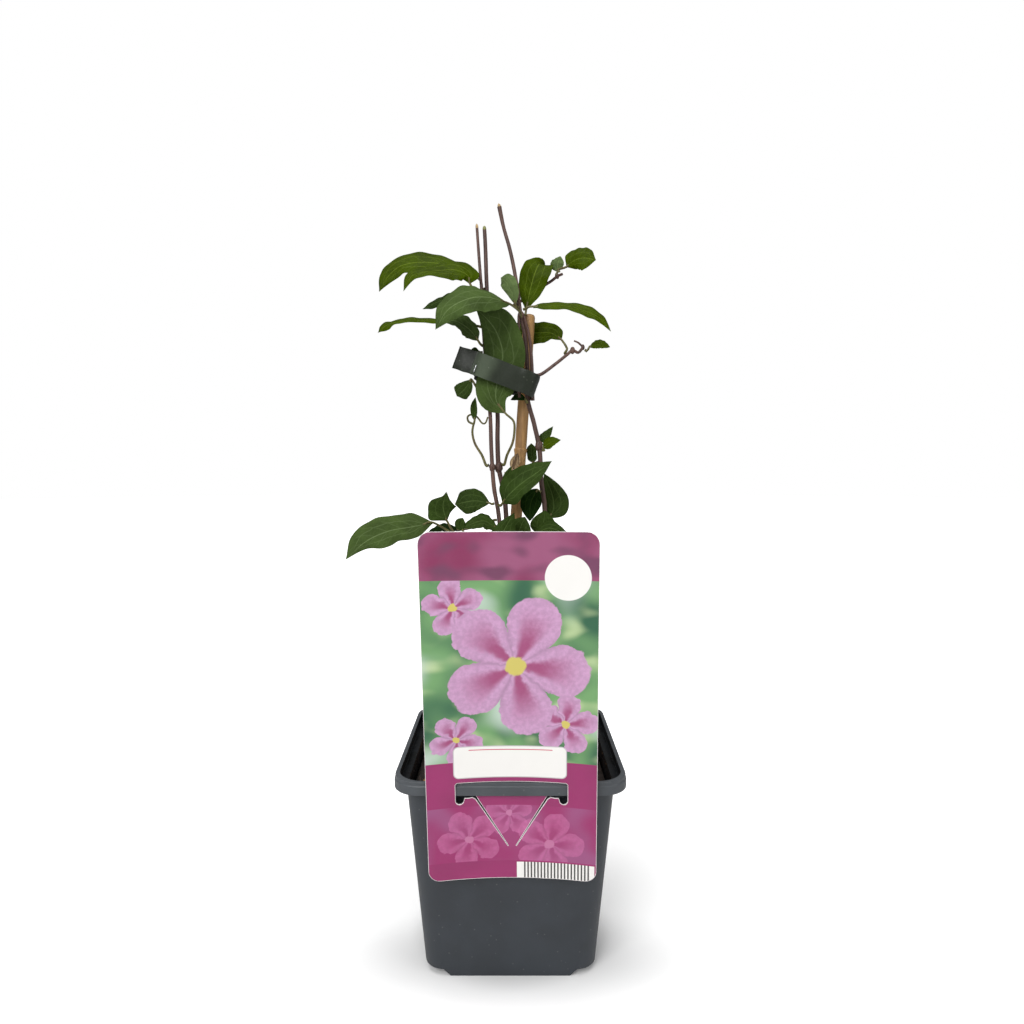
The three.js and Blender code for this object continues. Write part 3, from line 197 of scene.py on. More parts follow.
LEAVES = {
    "crown_leaf_1": leaf(
        "middle", 275, [(-13, 2, 279)],
        [(-20, 3, 283.5), (-28.5, 3.5, 286), (-38, 4, 287), (-46.5, 4, 285.5), (-52, 3, 280.5),
         (-55.5, 2, 274)],
        ((5.5, 6, 4.6, 3), (6.6, 7.6, 6.8, 4.2)), (0.1, -0.8, 0.6), cup=-1.2, wave=0.5, finish="bright"),
    "crown_leaf_2": leaf(
        "left", 270, [(-14, -7.4, 271.5)],
        [(-16.5, -8.4, 274.5), (-17.5, -9, 278), (-22.5, -10, 280), (-28.5, -11, 279.5), (-35, -12, 278.5),
         (-40, -12.5, 276.5), (-43, -13, 270.5)],
        ((5, 6, 3.2, 2.4), (7.8, 6.6, 3.9, 3.2)), (0.1, -0.75, 0.66), cup=-0.8, wave=0.4, finish="bright"),
    "crown_leaf_3": leaf(
        "middle", 266, [(-12, 3, 268)], [(-16, 6, 270.5), (-27, 9, 273), (-38.5, 12, 269)],
        9, (0, -0.7, 0.7), 0.5, -0.5, 0.4, "lower"),
    "crown_leaf_4": leaf(
        "right", 262.5, [(4, -5, 264)],
        [(0, -10, 266), (-8, -18, 267), (-16, -23, 265.5), (-24, -26, 260.5), (-29, -25, 253)],
        ((6.8, 8.5, 7.5, 4.6), (8.6, 9.4, 7.8, 4.8)), (0.15, -0.7, 0.7), cup=-1, wave=0.5, finish="matte"),
    "crown_leaf_5": leaf(
        "left", 258, [(-14, -7, 258)],
        [(-19.5, -10, 258.5), (-32.5, -12, 259.5), (-42.5, -13, 259), (-49.5, -13, 257.5), (-53.5, -13, 254)],
        ((3.2, 1.7, 2.6, 3.4), (3.5, 2.9, 3.4, 3.6)), (0, -0.55, 0.83), cup=-0.5, wave=0.4, finish="bright"),
    "crown_leaf_6": leaf(
        "left", 250, [(-12.5, -8.5, 250.5)],
        [(-13, -11.5, 251), (-16.5, -13, 255.5), (-22, -15, 258.5), (-28, -16, 258)],
        ((4.4, 5.4, 4.2, 2.6), (5, 6.6, 6.2, 4)), (0.2, -0.7, 0.7), cup=-0.4, wave=0.3, finish="matte"),
    "crown_leaf_7": leaf(
        "left", 247.6, [], [(-13, -5.3, 247.9), (-16.5, -5.8, 248.2)],
        3.6, (0, -0.9, 0.4), widest=0.5),
    "crown_leaf_8": leaf(
        "right", 266.5, [], [(2, -4, 267), (0.5, -5.5, 272), (-2, -6.5, 276), (-4, -7, 277.5)],
        ((1.6, 2.4, 2.8, 2), (2.2, 3.4, 4.2, 3.4)), (-0.3, -0.8, 0.5), cup=-0.3, wave=0.3, finish="pale"),
    "crown_leaf_9": leaf(
        "right", 264, [], [(6.5, 2, 266), (8, 3.5, 274), (10, 6, 282), (12.5, 10, 288), (15, 16, 286.5)],
        ((3.8, 5.6, 5.6, 3.8), (4.8, 7, 7.2, 5.2)), (-0.15, -0.9, 0.3), cup=1.5, wave=0.4, finish="bright"),
    "crown_leaf_10": leaf(
        "right", 265.5, [],
        [(7.5, -3.5, 266.5), (14, -5, 266.5), (22.5, -8, 266), (30, -10.5, 263.5), (36, -12.5, 260),
         (40.5, -13, 254.5)],
        ((2.6, 3.4, 4, 3.1), (2, 2.7, 2.9, 2.4)), (0.15, -0.75, 0.65), cup=-0.4, wave=0.3, finish="bright"),
    "crown_leaf_11": leaf(
        "side_stem_top", 281.2, [], [(20.2, 8.2, 284), (20.2, 8.4, 287.5), (21.4, 9, 290.8)],
        6.4, (-0.4, -0.85, 0.2), cup=0.4, wave=0.2, finish="pale"),
    "crown_leaf_12": leaf(
        "side_stem_top", 281.8, [],
        [(23.5, 3, 284.5), (26.2, 1.3, 286.6), (30.2, -0.8, 287.4), (35.5, -2, 286)],
        ((4.6, 5.8, 6, 5.2), (3.2, 4.4, 5.6, 5.6)), (0, -0.9, 0.4), cup=-0.8, finish="bright"),
    "side_leaf_1": leaf(
        "side_stem_right", 247.4, [(24, 3, 250.5)],
        [(22, 6, 254.5), (17.5, 8, 258), (9, 9.8, 258.5), (-4, 10.8, 259.5)],
        ((2.8, 4.4, 5.4, 5.4), (4, 4.9, 5.2, 5)), (0.1, -0.95, 0.3), cup=-0.4, wave=0.3, finish="bright"),
    "side_leaf_2": leaf(
        "side_stem_right", 250, [], [(33, -0.6, 250.5), (37, -2, 251.5), (41.5, -3, 250)],
        5.4, (0, -0.8, 0.6), widest=0.5, finish="bright"),
    "bound_leaf": leaf(
        "middle", 201, [(-1.5, -5, 205), (0.8, -7, 210), (1.6, -8, 215), (1.2, -8.4, 219)],
        [(-2, -8.6, 222), (-6, -9, 228), (-5, -9, 237.5), (-3.2, -9, 246), (-5.5, -9.4, 254.5),
         (-9.5, -10, 260), (-14, -10.5, 264)],
        ((8, 8, 6.9, 4.2), (6.6, 9, 9.2, 8)), (0, -1, 0), cup=-1, wave=0.2, finish="matte"),
    "tie_leaf_1": leaf(
        "left", 226.5, [(-13, -5.5, 231)], [(-16, -8, 236), (-19, -8.6, 232), (-22, -9.4, 229)],
        ((2, 3, 3.4, 3.2), (2, 3.2, 3.8, 3.4)), (0, -1, 0.15), cup=-0.4, wave=0.2),
    "tie_leaf_2": leaf(
        "right", 227.3, [], [(6.5, -3.2, 228.2), (3.5, -4, 229.3), (0, -4.6, 228)],
        3.2, (0, -0.9, 0.4), widest=0.5, finish="deep"),
    "loop_leaf": leaf(
        "left", 201, [(-12, -3.5, 205), (-15, -3.5, 210), (-16, -4, 215)],
        [(-15, -4.6, 219.5), (-15.3, -5, 225), (-14.6, -5.2, 229)],
        3, (-0.2, -1, 0), widest=0.4,
        tendril=[(-15.5, -4.6, 218), (-17.5, -4.2, 219), (-18, -3.6, 221), (-16.5, -3.4, 222),
                 (-14, -3.4, 221), (-12, -3.6, 218.5), (-10.5, -3.8, 218.5), (-9.5, -3.6, 221)]),
    "middle_leaf_1": leaf(
        "right", 210.5, [], [(12, 1, 210.5), (14.5, 2, 213), (18.2, 3.2, 217.6)],
        ((2, 2.6, 2.4, 1.4), (2, 2.6, 2.4, 1.4)), (-0.4, -0.8, 0.5)),
    "middle_leaf_2": leaf(
        "right", 207, [], [(13.4, -2.5, 208), (16.6, -3.6, 210.4), (21, -4.8, 211.4)],
        ((2.2, 3, 2.8, 1.6), (2.2, 3, 2.6, 1.5)), (-0.2, -0.8, 0.6), finish="bright"),
    "middle_leaf_3": leaf(
        "right", 203, [(12.2, 3.5, 202.5)], [(9.8, 7.6, 201.8), (9.2, 8.4, 206), (9, 8.8, 210.6)],
        ((1.9, 2.1, 2.1, 1.9), (1.9, 2.1, 2.1, 1.9)), (0.1, -1, 0.2)),
    "low_leaf_1": leaf(
        "left", 184, [(-4, -8, 184)],
        [(-3.5, -9.5, 185), (-0.5, -11, 189), (4.5, -12, 193.5), (11, -11, 198), (17, -9, 202.5)],
        ((6.4, 8.2, 7.3, 5.4), (5.2, 5, 4.6, 2.6)), (-0.35, -0.85, 0.4), cup=-0.6, wave=0.3),
    "low_leaf_2": leaf(
        "middle", 187.5, [], [(-1.8, -5, 190.5), (-1.6, -5.4, 195.5), (0.4, -6, 200.5)],
        3.6, (-0.3, -0.95, 0.1)),
    "dry_leaf": leaf(
        "middle", 197, [(-1.5, -2.2, 198)], [(0.5, -2.4, 199), (2, -2.6, 202.5), (3, -2.6, 206)],
        4.2, (0, -1, 0.1), cup=0.3, finish="dry"),
    "low_leaf_3": leaf(
        "right", 190, [], [(11.5, -3, 191), (8.5, -4.5, 185), (8, -6, 177.5)],
        9, (0.1, -0.95, 0.25), 0.45, -0.4, 0.3, "deep"),
    "low_leaf_4": leaf(
        "right", 173.5, [(16.5, 1, 175)],
        [(16.5, 2.4, 178), (18.5, 3.4, 182.5), (18, 4.6, 188), (16, 5.8, 193.5), (14.5, 7, 197.5)],
        ((3.2, 4.4, 3.6, 1.8), (5.6, 6.6, 4.6, 2.3)), (-0.2, -0.95, 0.2), cup=-0.5, wave=0.3),
    "low_leaf_5": leaf(
        "left", 158, [(-4, -10, 160)], [(-4, -13, 165), (-3, -15, 173.5), (1.5, -15.5, 181.5)],
        ((5, 5, 3.6, 2), (6, 6.2, 5, 2.8)), (0, -0.95, 0.3), cup=-0.5, wave=0.3),
    "low_leaf_6": leaf(
        "middle", 165, [(1.5, -5, 167)], [(2.5, -8, 170), (4, -9.5, 175), (6, -9.5, 179.5)],
        10, (-0.2, -0.95, 0.3), finish="lower"),
    "low_leaf_7": leaf(
        "right", 166, [(12.5, -4.5, 167.5)], [(10, -7, 171.5), (16, -9, 175), (24.5, -10, 171.8)],
        8, (0, -0.7, 0.7), cup=-0.3, wave=0.2),
    "low_leaf_8": leaf(
        "right", 170, [], [(13.5, -4, 171.5), (13.8, -5, 176.5), (14.5, -5.6, 182)],
        11, (0, -1, 0.1), 0.42, finish="lower"),
    "low_leaf_9": leaf(
        "left", 172, [], [(-5.5, -7, 174.5), (-11.5, -8.5, 178), (-20, -10, 175)],
        10, (0.1, -0.55, 0.83), 0.45, -0.4, 0.3, "lower"),
    "low_leaf_10": leaf(
        "left", 164, [(-12, -5, 166), (-22, -6.5, 171)],
        [(-32, -8.5, 177), (-41, -11, 175.5), (-50, -14, 174), (-58.5, -17, 170), (-66, -20, 163)],
        ((5.2, 5.4, 6.8, 2.6), (7.6, 7.4, 8.6, 6.6)), (0.1, -0.78, 0.62), cup=-1, wave=0.4,
        finish="matte"),
    "low_leaf_11": leaf(
        "left", 167.5, [(-14, -8, 169.5), (-22, -11.5, 172)],
        [(-26, -12.5, 178), (-27.5, -13.5, 184), (-26, -15, 190)],
        ((6.4, 6.4, 5.4, 1.4), (2.2, 5.2, 4.8, 2.3)), (0, -1, 0.2), cup=-0.3, wave=0.2),
    "low_leaf_12": leaf(
        "left", 161.3, [(-10, -8.5, 162), (-16, -14, 167), (-18.6, -18.5, 172)],
        [(-19, -19.5, 174.5), (-19.9, -20, 177.3), (-19, -20.5, 179.8)],
        4.8, (0, -1, 0.2), widest=0.5),
    "low_leaf_13": leaf(
        "left", 185, [], [(-8.6, -4.2, 185), (-15.5, -3.6, 186), (-23.5, -4, 184.5)],
        ((2.8, 4.6, 5.5, 4.8), (3, 5, 5.7, 4.8)), (0, -0.92, 0.38), cup=-0.5, wave=0.3),
    "low_leaf_14": leaf(
        "left", 178, [(-10, -3, 176)], [(-21, -2.5, 173.5), (-29, -2.5, 174.5), (-36, -3, 171.5)],
        6, (0, -0.5, 0.86), 0.45, 0, 0.2, "deep"),
}


# ---- what a user may change ----------------------------------------------------------------------

def length(name, description, default):
    return FloatProperty(name=name, description=description, default=default * MM, min=0, unit="LENGTH")


def colour(name, description, red, green, blue):
    return FloatVectorProperty(name=name, description=description, size=4, subtype="COLOR", min=0, max=1,
                               default=paint(red, green, blue))


class PlantSizes(bpy.types.PropertyGroup):
    leaf_thickness: length("Leaf thickness", "Thickness of a blade beside its middle vein", 0.45)
    edge_ripple: length("Edge ripple", "Height of the small waves along a blade's edge", 0.22)
    stem_ridge: length("Stem ridges", "Height of the ridges that run along a stem", 0.04)
    pot_edge: length("Pot edge", "Radius of the pot's moulded edges", 0.45)
    tape_thickness: length("Tape thickness", "Thickness of the tape that ties the plant", 0.35)
    chips: IntProperty(name="Bark chips", description="Number of bark chips on the soil", default=420, min=0)
    fibres: IntProperty(name="Fibres", description="Number of fibres on the soil", default=160, min=0)
    seed: IntProperty(name="Seed", description="Starts the random places of chips and fibres", default=7)


class PlantColours(bpy.types.PropertyGroup):
    pot: colour("Pot", "Dark plastic of the pot", 45, 50, 56)
    soil: colour("Soil", "Damp compost", 38, 26, 18)
    bark: colour("Bark", "Bark chips in the compost", 180, 134, 86)
    cane: colour("Cane", "Dry bamboo", 172, 131, 80)
    stem: colour("Stem", "Reddish young wood", 80, 56, 48)
    tie: colour("Tie", "Dark green tape", 42, 48, 38)
    label: colour("Label", "Plain colour of the card's bands", 146, 32, 96)
    # Bright is the young leaves' yellow green, with painted light for leaves in full light.
    bright: colour("Bright leaf", "Young leaves in full light", 52, 68, 1)
    matte: colour("Matte leaf", "Leaves that face the viewer", 62, 79, 38)
    # Deep is painted shade: the leaf green darkened for leaves in the shade.
    deep: colour("Deep leaf", "Leaves in the shade", 18, 38, 8)
    lower: colour("Lower leaf", "Older leaves by the pot", 46, 63, 24)
    pale: colour("Leaf underside", "Paler underside of the leaves", 88, 106, 64)


# ---- shaders -------------------------------------------------------------------------------------

class Tree:
    """Puts nodes in a shader tree. A value is a number, a colour or the output of another node."""

    def __init__(self, tree):
        self.tree = tree

    def node(self, kind, values=None, **settings):
        made = self.tree.nodes.new("ShaderNode" + kind)
        for name, setting in settings.items():
            setattr(made, name, setting)
        for socket, value in (values or {}).items():
            self.feed(made.inputs[socket], value)
        return made

    def feed(self, socket, value):
        if isinstance(value, bpy.types.NodeSocket):
            self.tree.links.new(value, socket)
        else:
            socket.default_value = value

    def math(self, operation, first, second=0.0, third=0.0):
        return self.node("Math", {0: first, 1: second, 2: third}, operation=operation).outputs[0]

    def ramp(self, value, low, high):
        """0 up to low and 1 from high on, smooth between; the other way round where high is the lower."""
        return self.node("MapRange", {0: value, 1: low, 2: high}, interpolation_type="SMOOTHSTEP").outputs[0]

    def span(self, value, low, high):
        """A share of 0 to 1, spread over low to high."""
        return self.node("MapRange", {0: value, 3: low, 4: high}).outputs[0]

    def mix(self, share, first, second):
        return self.node("Mix", {0: share, 6: first, 7: second}, data_type="RGBA").outputs[2]

    def millimetres(self):
        """The place on the object, in millimetres."""
        place = self.node("TexCoord").outputs["Object"]
        return self.node("VectorMath", {0: place, "Scale": 1000.0}, operation="SCALE").outputs[0]

    def seen(self):
        """1 for what is looked at, 0 for what only lights other things."""
        return self.node("LightPath").outputs["Is Camera Ray"]

    def stretched(self, place, x, y, z):
        return self.node("VectorMath", {0: place, 1: (x, y, z)}, operation="MULTIPLY").outputs[0]

    def length(self, place):
        return self.node("VectorMath", {0: place}, operation="LENGTH").outputs["Value"]

    def apart(self, place):
        """The three coordinates of a place."""
        return self.node("SeparateXYZ", {0: place}).outputs

    def noise(self, place, scale, detail=3.0):
        return self.node("TexNoise", {"Vector": place, "Scale": scale, "Detail": detail}).outputs[0]

    def cells(self, place, scale, feature="F1"):
        return self.node("TexVoronoi", {"Vector": place, "Scale": scale}, feature=feature).outputs[0]

    def bump(self, height, strength, distance):
        values = {"Strength": strength, "Distance": distance * MM, "Height": height}
        return self.node("Bump", values).outputs[0]

    def group(self, name, values):
        """An effect that several materials share, with this material's own values."""
        made = self.node("Group", node_tree=bpy.data.node_groups[name])
        for socket, value in values.items():
            self.feed(made.inputs[socket], value)
        return made.outputs


def surface(name, roughness, metallic=0.0):
    """A new material: returns it, the tree round its shader, and the shader."""
    material = bpy.data.materials.new(name)
    material.use_nodes = True
    shader = material.node_tree.nodes["Principled BSDF"]
    shader.inputs["Roughness"].default_value = roughness
    shader.inputs["Metallic"].default_value = metallic
    return material, Tree(material.node_tree), shader


def effect(name, takes, gives):
    """A new node group: returns its tree, what feeds it, and the sockets that its results go to."""
    group = bpy.data.node_groups.new(name, "ShaderNodeTree")
    for socket, kind in takes:
        group.interface.new_socket(socket, in_out="INPUT", socket_type="NodeSocket" + kind)
    for socket in gives:
        group.interface.new_socket(socket, in_out="OUTPUT", socket_type="NodeSocketFloat")
    return Tree(group), group.nodes.new("NodeGroupInput").outputs, group.nodes.new("NodeGroupOutput").inputs


def shaded(colour, share):
    """A colour made darker or lighter by a share."""
    return (*(min(1.0, part * share) for part in colour[:3]), 1.0)


def make_speckle():
    """Fine specks and soft clouds, as dusting and flow marks leave on plastic and card; inside the pot the
    specks are painted glints.
    """
    tree, takes, gives = effect("speckle", [("Place", "Vector"), ("Size", "Float")], ["Specks", "Cloud"])
    scale = tree.math("DIVIDE", 1.0, takes["Size"])
    tree.feed(gives["Specks"], tree.ramp(tree.cells(takes["Place"], scale), 0.13, 0.05))
    tree.feed(gives["Cloud"], tree.noise(takes["Place"], tree.math("MULTIPLY", scale, 0.22), 5.0))


def make_streaks():
    """Long fibres that run up the piece, as in wood, cane and stretched tape."""
    tree, takes, gives = effect("streaks", [("Place", "Vector"), ("Size", "Float")], ["Coarse", "Fine"])
    drawn = tree.stretched(takes["Place"], 1.0, 1.0, 0.045)
    scale = tree.math("DIVIDE", 1.0, takes["Size"])
    tree.feed(gives["Coarse"], tree.noise(drawn, scale, 4.0))
    tree.feed(gives["Fine"], tree.noise(drawn, tree.math("MULTIPLY", scale, 4.0), 2.0))


def make_leaf_pattern():
    """Veins of a clematis leaf: a middle vein, one on each side that follows the edge, branches and a net."""
    takes = [("Grid", "Vector"), ("Place", "Vector"), ("Branches", "Float")]
    tree, takes, gives = effect("leaf_pattern", takes, ["Vein", "Relief", "Mottle"])
    along, across = tree.apart(takes["Grid"])[:2]
    out = tree.math("ABSOLUTE", tree.math("MULTIPLY_ADD", across, 2.0, -1.0))
    stray = tree.math("MULTIPLY_ADD", tree.noise(takes["Place"], 0.22, 2.0), 0.16, -0.08)
    reach = tree.math("ADD", out, stray)
    middle = tree.ramp(out, 0.055, 0.012)
    swing = tree.math("MULTIPLY", tree.ramp(along, 0.0, 0.32), tree.ramp(along, 1.0, 0.72))
    aside = tree.math("ABSOLUTE", tree.math("SUBTRACT", reach, tree.math("MULTIPLY", swing, 0.47)))
    side = tree.math("MULTIPLY", tree.ramp(aside, 0.04, 0.006), tree.ramp(along, 1.0, 0.8))
    slope = tree.math("MULTIPLY", reach, 1.7)
    phase = tree.math("FRACT", tree.math("SUBTRACT", tree.math("MULTIPLY", along, takes["Branches"]), slope))
    beside = tree.math("ABSOLUTE", tree.math("SUBTRACT", phase, 0.5))
    branch = tree.math("MULTIPLY", tree.ramp(beside, 0.1, 0.01), tree.ramp(out, 1.0, 0.45))
    net = tree.ramp(tree.cells(takes["Place"], 0.6, "DISTANCE_TO_EDGE"), 0.09, 0.0)
    main = tree.math("MAXIMUM", middle, tree.math("MULTIPLY", side, 0.62))
    fine = tree.math("MAXIMUM", tree.math("MULTIPLY", branch, 0.34), tree.math("MULTIPLY", net, 0.13))
    vein = tree.math("MAXIMUM", main, fine)
    tree.feed(gives["Vein"], vein)
    quilt = tree.noise(takes["Place"], 0.45, 3.0)
    tree.feed(gives["Relief"], tree.math("SUBTRACT", tree.math("MULTIPLY", quilt, 0.7), vein))
    tree.feed(gives["Mottle"], tree.noise(takes["Place"], 0.09, 4.0))


def make_bloom():
    """A plain round blossom of equal petals, as a print would show it."""
    takes = [(name, "Float") for name in ("Across", "Up", "Radius", "Turn", "Petals")]
    tree, takes, gives = effect("bloom", takes, ["Petal", "Streak", "Heart", "Crease"])
    x = takes["Across"]
    z = takes["Up"]
    square = tree.math("ADD", tree.math("MULTIPLY", x, x), tree.math("MULTIPLY", z, z))
    distance = tree.math("DIVIDE", tree.math("SQRT", square), takes["Radius"])
    angle = tree.math("ADD", tree.math("ARCTAN2", z, x), takes["Turn"])
    half_turn = tree.math("MULTIPLY", tree.math("MULTIPLY", angle, takes["Petals"]), 0.5)
    lobe = tree.math("ABSOLUTE", tree.math("COSINE", half_turn))
    edge = tree.math("MULTIPLY_ADD", tree.math("POWER", lobe, 0.5), 0.55, 0.45)
    tree.feed(gives["Petal"], tree.ramp(tree.math("SUBTRACT", distance, edge), 0.012, -0.012))
    fade = tree.math("MULTIPLY", tree.ramp(distance, 0.92, 0.3), tree.ramp(lobe, 0.55, 1.0))
    tree.feed(gives["Streak"], fade)
    tree.feed(gives["Heart"], tree.ramp(distance, 0.15, 0.12))
    tree.feed(gives["Crease"], tree.ramp(lobe, 0.32, 0.0))


def make_effects():
    make_speckle()
    make_streaks()
    make_leaf_pattern()
    make_bloom()


def pot_plastic(colours):
    material, tree, shader = surface("pot_plastic", 0.46)
    place = tree.millimetres()
    marks = tree.group("speckle", {"Place": place, "Size": 3.2})
    scratch = tree.group("streaks", {"Place": place, "Size": 1.3})
    base = tuple(colours.pot)
    body = tree.mix(tree.ramp(marks["Cloud"], 0.3, 0.72), shaded(base, 0.86), shaded(base, 1.12))
    lip = tree.ramp(tree.apart(place)[2], LIP_BOTTOM - 0.3, LIP_BOTTOM + 0.3)
    # Painted highlight: the lip made lighter in soft patches, for the light it catches.
    lip_highlight = tree.math("MULTIPLY", lip, tree.span(marks["Cloud"], 0.02, 0.1))
    body = tree.mix(lip_highlight, body, paint(190, 194, 196))
    scored = tree.math("MULTIPLY", tree.ramp(scratch["Fine"], 0.68, 0.8), 0.22)
    body = tree.mix(scored, body, shaded(base, 2.2))
    tree.feed(shader.inputs["Base Color"], tree.mix(
        tree.math("MULTIPLY", marks["Specks"], 0.14), body, paint(150, 148, 140)))
    tree.feed(shader.inputs["Roughness"], tree.span(marks["Cloud"], 0.38, 0.58))
    grain = tree.math("ADD", tree.noise(place, 2.4, 3.0), tree.math("MULTIPLY", marks["Specks"], 0.6))
    tree.feed(shader.inputs["Normal"], tree.bump(grain, 0.18, 0.12))
    return material


def pot_inside_painted_shade(colours):
    """The pot's inside: the pot's plastic painted much darker as painted shade, with fine pale specks painted
    as glints.
    """
    material, tree, shader = surface("pot_inside_painted_shade", 0.2)
    shader.inputs["Specular IOR Level"].default_value = 0.05
    marks = tree.group("speckle", {"Place": tree.millimetres(), "Size": 1.5})
    base = tuple(colours.pot)
    # Painted shade: the pot's colour darkened to a small share of itself.
    body = tree.mix(tree.ramp(marks["Cloud"], 0.35, 0.7), shaded(base, 0.06), shaded(base, 0.3))
    # Painted glints: pale specks over the painted shade.
    tree.feed(shader.inputs["Base Color"], tree.mix(
        tree.math("MULTIPLY", marks["Specks"], 0.3), body, paint(150, 152, 150)))
    tree.feed(shader.inputs["Roughness"], tree.span(marks["Cloud"], 0.16, 0.4))
    tree.feed(shader.inputs["Normal"], tree.bump(marks["Cloud"], 0.25, 0.3))
    return material


def compost(colours):
    material, tree, shader = surface("compost", 0.93)
    place = tree.millimetres()
    lumps = tree.noise(place, 0.55, 6.0)
    base = tuple(colours.soil)
    tree.feed(shader.inputs["Base Color"], tree.mix(
        tree.ramp(lumps, 0.35, 0.72), shaded(base, 0.55), shaded(base, 1.7)))
    tree.feed(shader.inputs["Roughness"], tree.span(lumps, 0.99, 0.8))
    tree.feed(shader.inputs["Normal"], tree.bump(tree.noise(place, 1.4, 6.0), 0.9, 0.6))
    return material


def chip_bark(colours):
    material, tree, shader = surface("chip_bark", 0.85)
    place = tree.millimetres()
    kind = tree.cells(place, 0.22)
    grain = tree.noise(tree.stretched(place, 1.0, 0.3, 1.0), 1.6, 4.0)
    base = tuple(colours.bark)
    body = tree.mix(tree.ramp(kind, 0.2, 0.8), shaded(base, 0.35), shaded(base, 1.25))
    tree.feed(shader.inputs["Base Color"], tree.mix(tree.ramp(grain, 0.35, 0.7), body, shaded(base, 0.3)))
    tree.feed(shader.inputs["Roughness"], tree.span(grain, 0.75, 0.95))
    tree.feed(shader.inputs["Normal"], tree.bump(grain, 0.6, 0.3))
    return material


def dry_bamboo(colours):
    material, tree, shader = surface("dry_bamboo", 0.5)
    place = tree.millimetres()
    fibre = tree.group("streaks", {"Place": place, "Size": 1.6})
    stain = tree.noise(tree.stretched(place, 1.0, 1.0, 0.25), 0.16, 4.0)
    base = tuple(colours.cane)
    body = tree.mix(tree.ramp(fibre["Coarse"], 0.3, 0.7), shaded(base, 0.72), shaded(base, 1.16))
    body = tree.mix(tree.math("MULTIPLY", tree.ramp(stain, 0.5, 0.72), 0.55), body, paint(92, 62, 38))
    tree.feed(shader.inputs["Base Color"], tree.mix(
        tree.math("MULTIPLY", tree.ramp(fibre["Fine"], 0.6, 0.75), 0.4), body, shaded(base, 0.42)))
    tree.feed(shader.inputs["Roughness"], tree.span(fibre["Coarse"], 0.4, 0.65))
    tree.feed(shader.inputs["Normal"], tree.bump(fibre["Fine"], 0.35, 0.12))
    return material


def young_wood(name, base, fleck):
    material, tree, shader = surface(name, 0.55)
    place = tree.millimetres()
    fibre = tree.group("streaks", {"Place": place, "Size": 0.8})
    patch = tree.noise(tree.stretched(place, 1.0, 1.0, 0.3), 0.2, 3.0)
    body = tree.mix(tree.ramp(fibre["Coarse"], 0.35, 0.65), shaded(base, 0.62), shaded(base, 1.25))
    tree.feed(shader.inputs["Base Color"], tree.mix(
        tree.math("MULTIPLY", tree.ramp(patch, 0.5, 0.75), 0.35), body, fleck))
    tree.feed(shader.inputs["Roughness"], tree.span(fibre["Fine"], 0.42, 0.7))
    tree.feed(shader.inputs["Normal"], tree.bump(fibre["Coarse"], 0.4, 0.15))
    return material


def leaf_face(name, base, vein, roughness, relief, sunk=True):
    """One side of a leaf. A sunk vein lies below the blade, on the upper side; else it stands out."""
    material, tree, shader = surface(name, roughness)
    shader.inputs["Specular IOR Level"].default_value = LEAF_GLOSS
    place = tree.millimetres()
    grid = tree.node("UVMap", uv_map="leaf_grid").outputs[0]
    marks = tree.group("leaf_pattern", {"Grid": grid, "Place": place, "Branches": VEIN_BRANCHES})
    body = tree.mix(tree.ramp(marks["Mottle"], 0.28, 0.74), shaded(base, 0.68), shaded(base, 1.22))
    tree.feed(shader.inputs["Base Color"], tree.mix(tree.math("MULTIPLY", marks["Vein"], 0.22), body, vein))
    tree.feed(shader.inputs["Roughness"], tree.span(marks["Mottle"], roughness - 0.08, roughness + 0.1))
    height = marks["Relief"] if sunk else tree.math("MULTIPLY", marks["Relief"], -1.0)
    tree.feed(shader.inputs["Normal"], tree.bump(height, relief, 0.35))
    return material


def dry_blade():
    material, tree, shader = surface("dry_blade", 0.85)
    place = tree.millimetres()
    fibre = tree.group("streaks", {"Place": place, "Size": 0.9})
    body = tree.mix(tree.ramp(fibre["Coarse"], 0.35, 0.65), paint(92, 70, 46), paint(176, 150, 112))
    tree.feed(shader.inputs["Base Color"], tree.mix(
        tree.ramp(fibre["Fine"], 0.6, 0.7), body, paint(48, 38, 26)))
    tree.feed(shader.inputs["Roughness"], tree.span(fibre["Fine"], 0.7, 0.95))
    tree.feed(shader.inputs["Normal"], tree.bump(fibre["Coarse"], 0.7, 0.3))
    return material


def green_tape(colours):
    material, tree, shader = surface("green_tape", 0.45)
    shader.inputs["Specular IOR Level"].default_value = 0.25
    place = tree.millimetres()
    marks = tree.group("speckle", {"Place": place, "Size": 2.2})
    along = tree.apart(tree.node("UVMap", uv_map="tape_grid").outputs[0])[0]
    wander = tree.math("MULTIPLY_ADD", tree.noise(place, 0.12, 2.0), 0.05, -0.025)
    along = tree.math("ADD", along, wander)
    base = tuple(colours.tie)
    # Painted highlight: a sheen across the tape at SHEEN_AT.
    painted_sheen = tree.ramp(tree.math("ABSOLUTE", tree.math("SUBTRACT", along, SHEEN_AT)), 0.06, 0.01)
    # Painted light: the tape lighter towards its cut end in front.
    body = tree.mix(tree.ramp(along, 0.2, 0.0), shaded(base, 0.75), shaded(base, 1.5))
    body = tree.mix(tree.math("MULTIPLY", painted_sheen, 0.9), body, shaded(base, 3.4))
    # The tab painted darker, and a pale line along the cut end.
    body = tree.mix(tree.ramp(along, TAB_FROM, TAB_FROM + 0.01), body, shaded(base, 0.6))
    body = tree.mix(tree.ramp(along, 0.006, 0.0), body, paint(118, 128, 116))
    tree.feed(shader.inputs["Base Color"], tree.mix(
        tree.math("MULTIPLY", marks["Specks"], 0.3), body, paint(150, 156, 140)))
    tree.feed(shader.inputs["Roughness"], tree.span(marks["Cloud"], 0.28, 0.5))
    tree.feed(shader.inputs["Normal"], tree.bump(tree.noise(place, 0.5, 3.0), 0.3, 0.25))
    return material


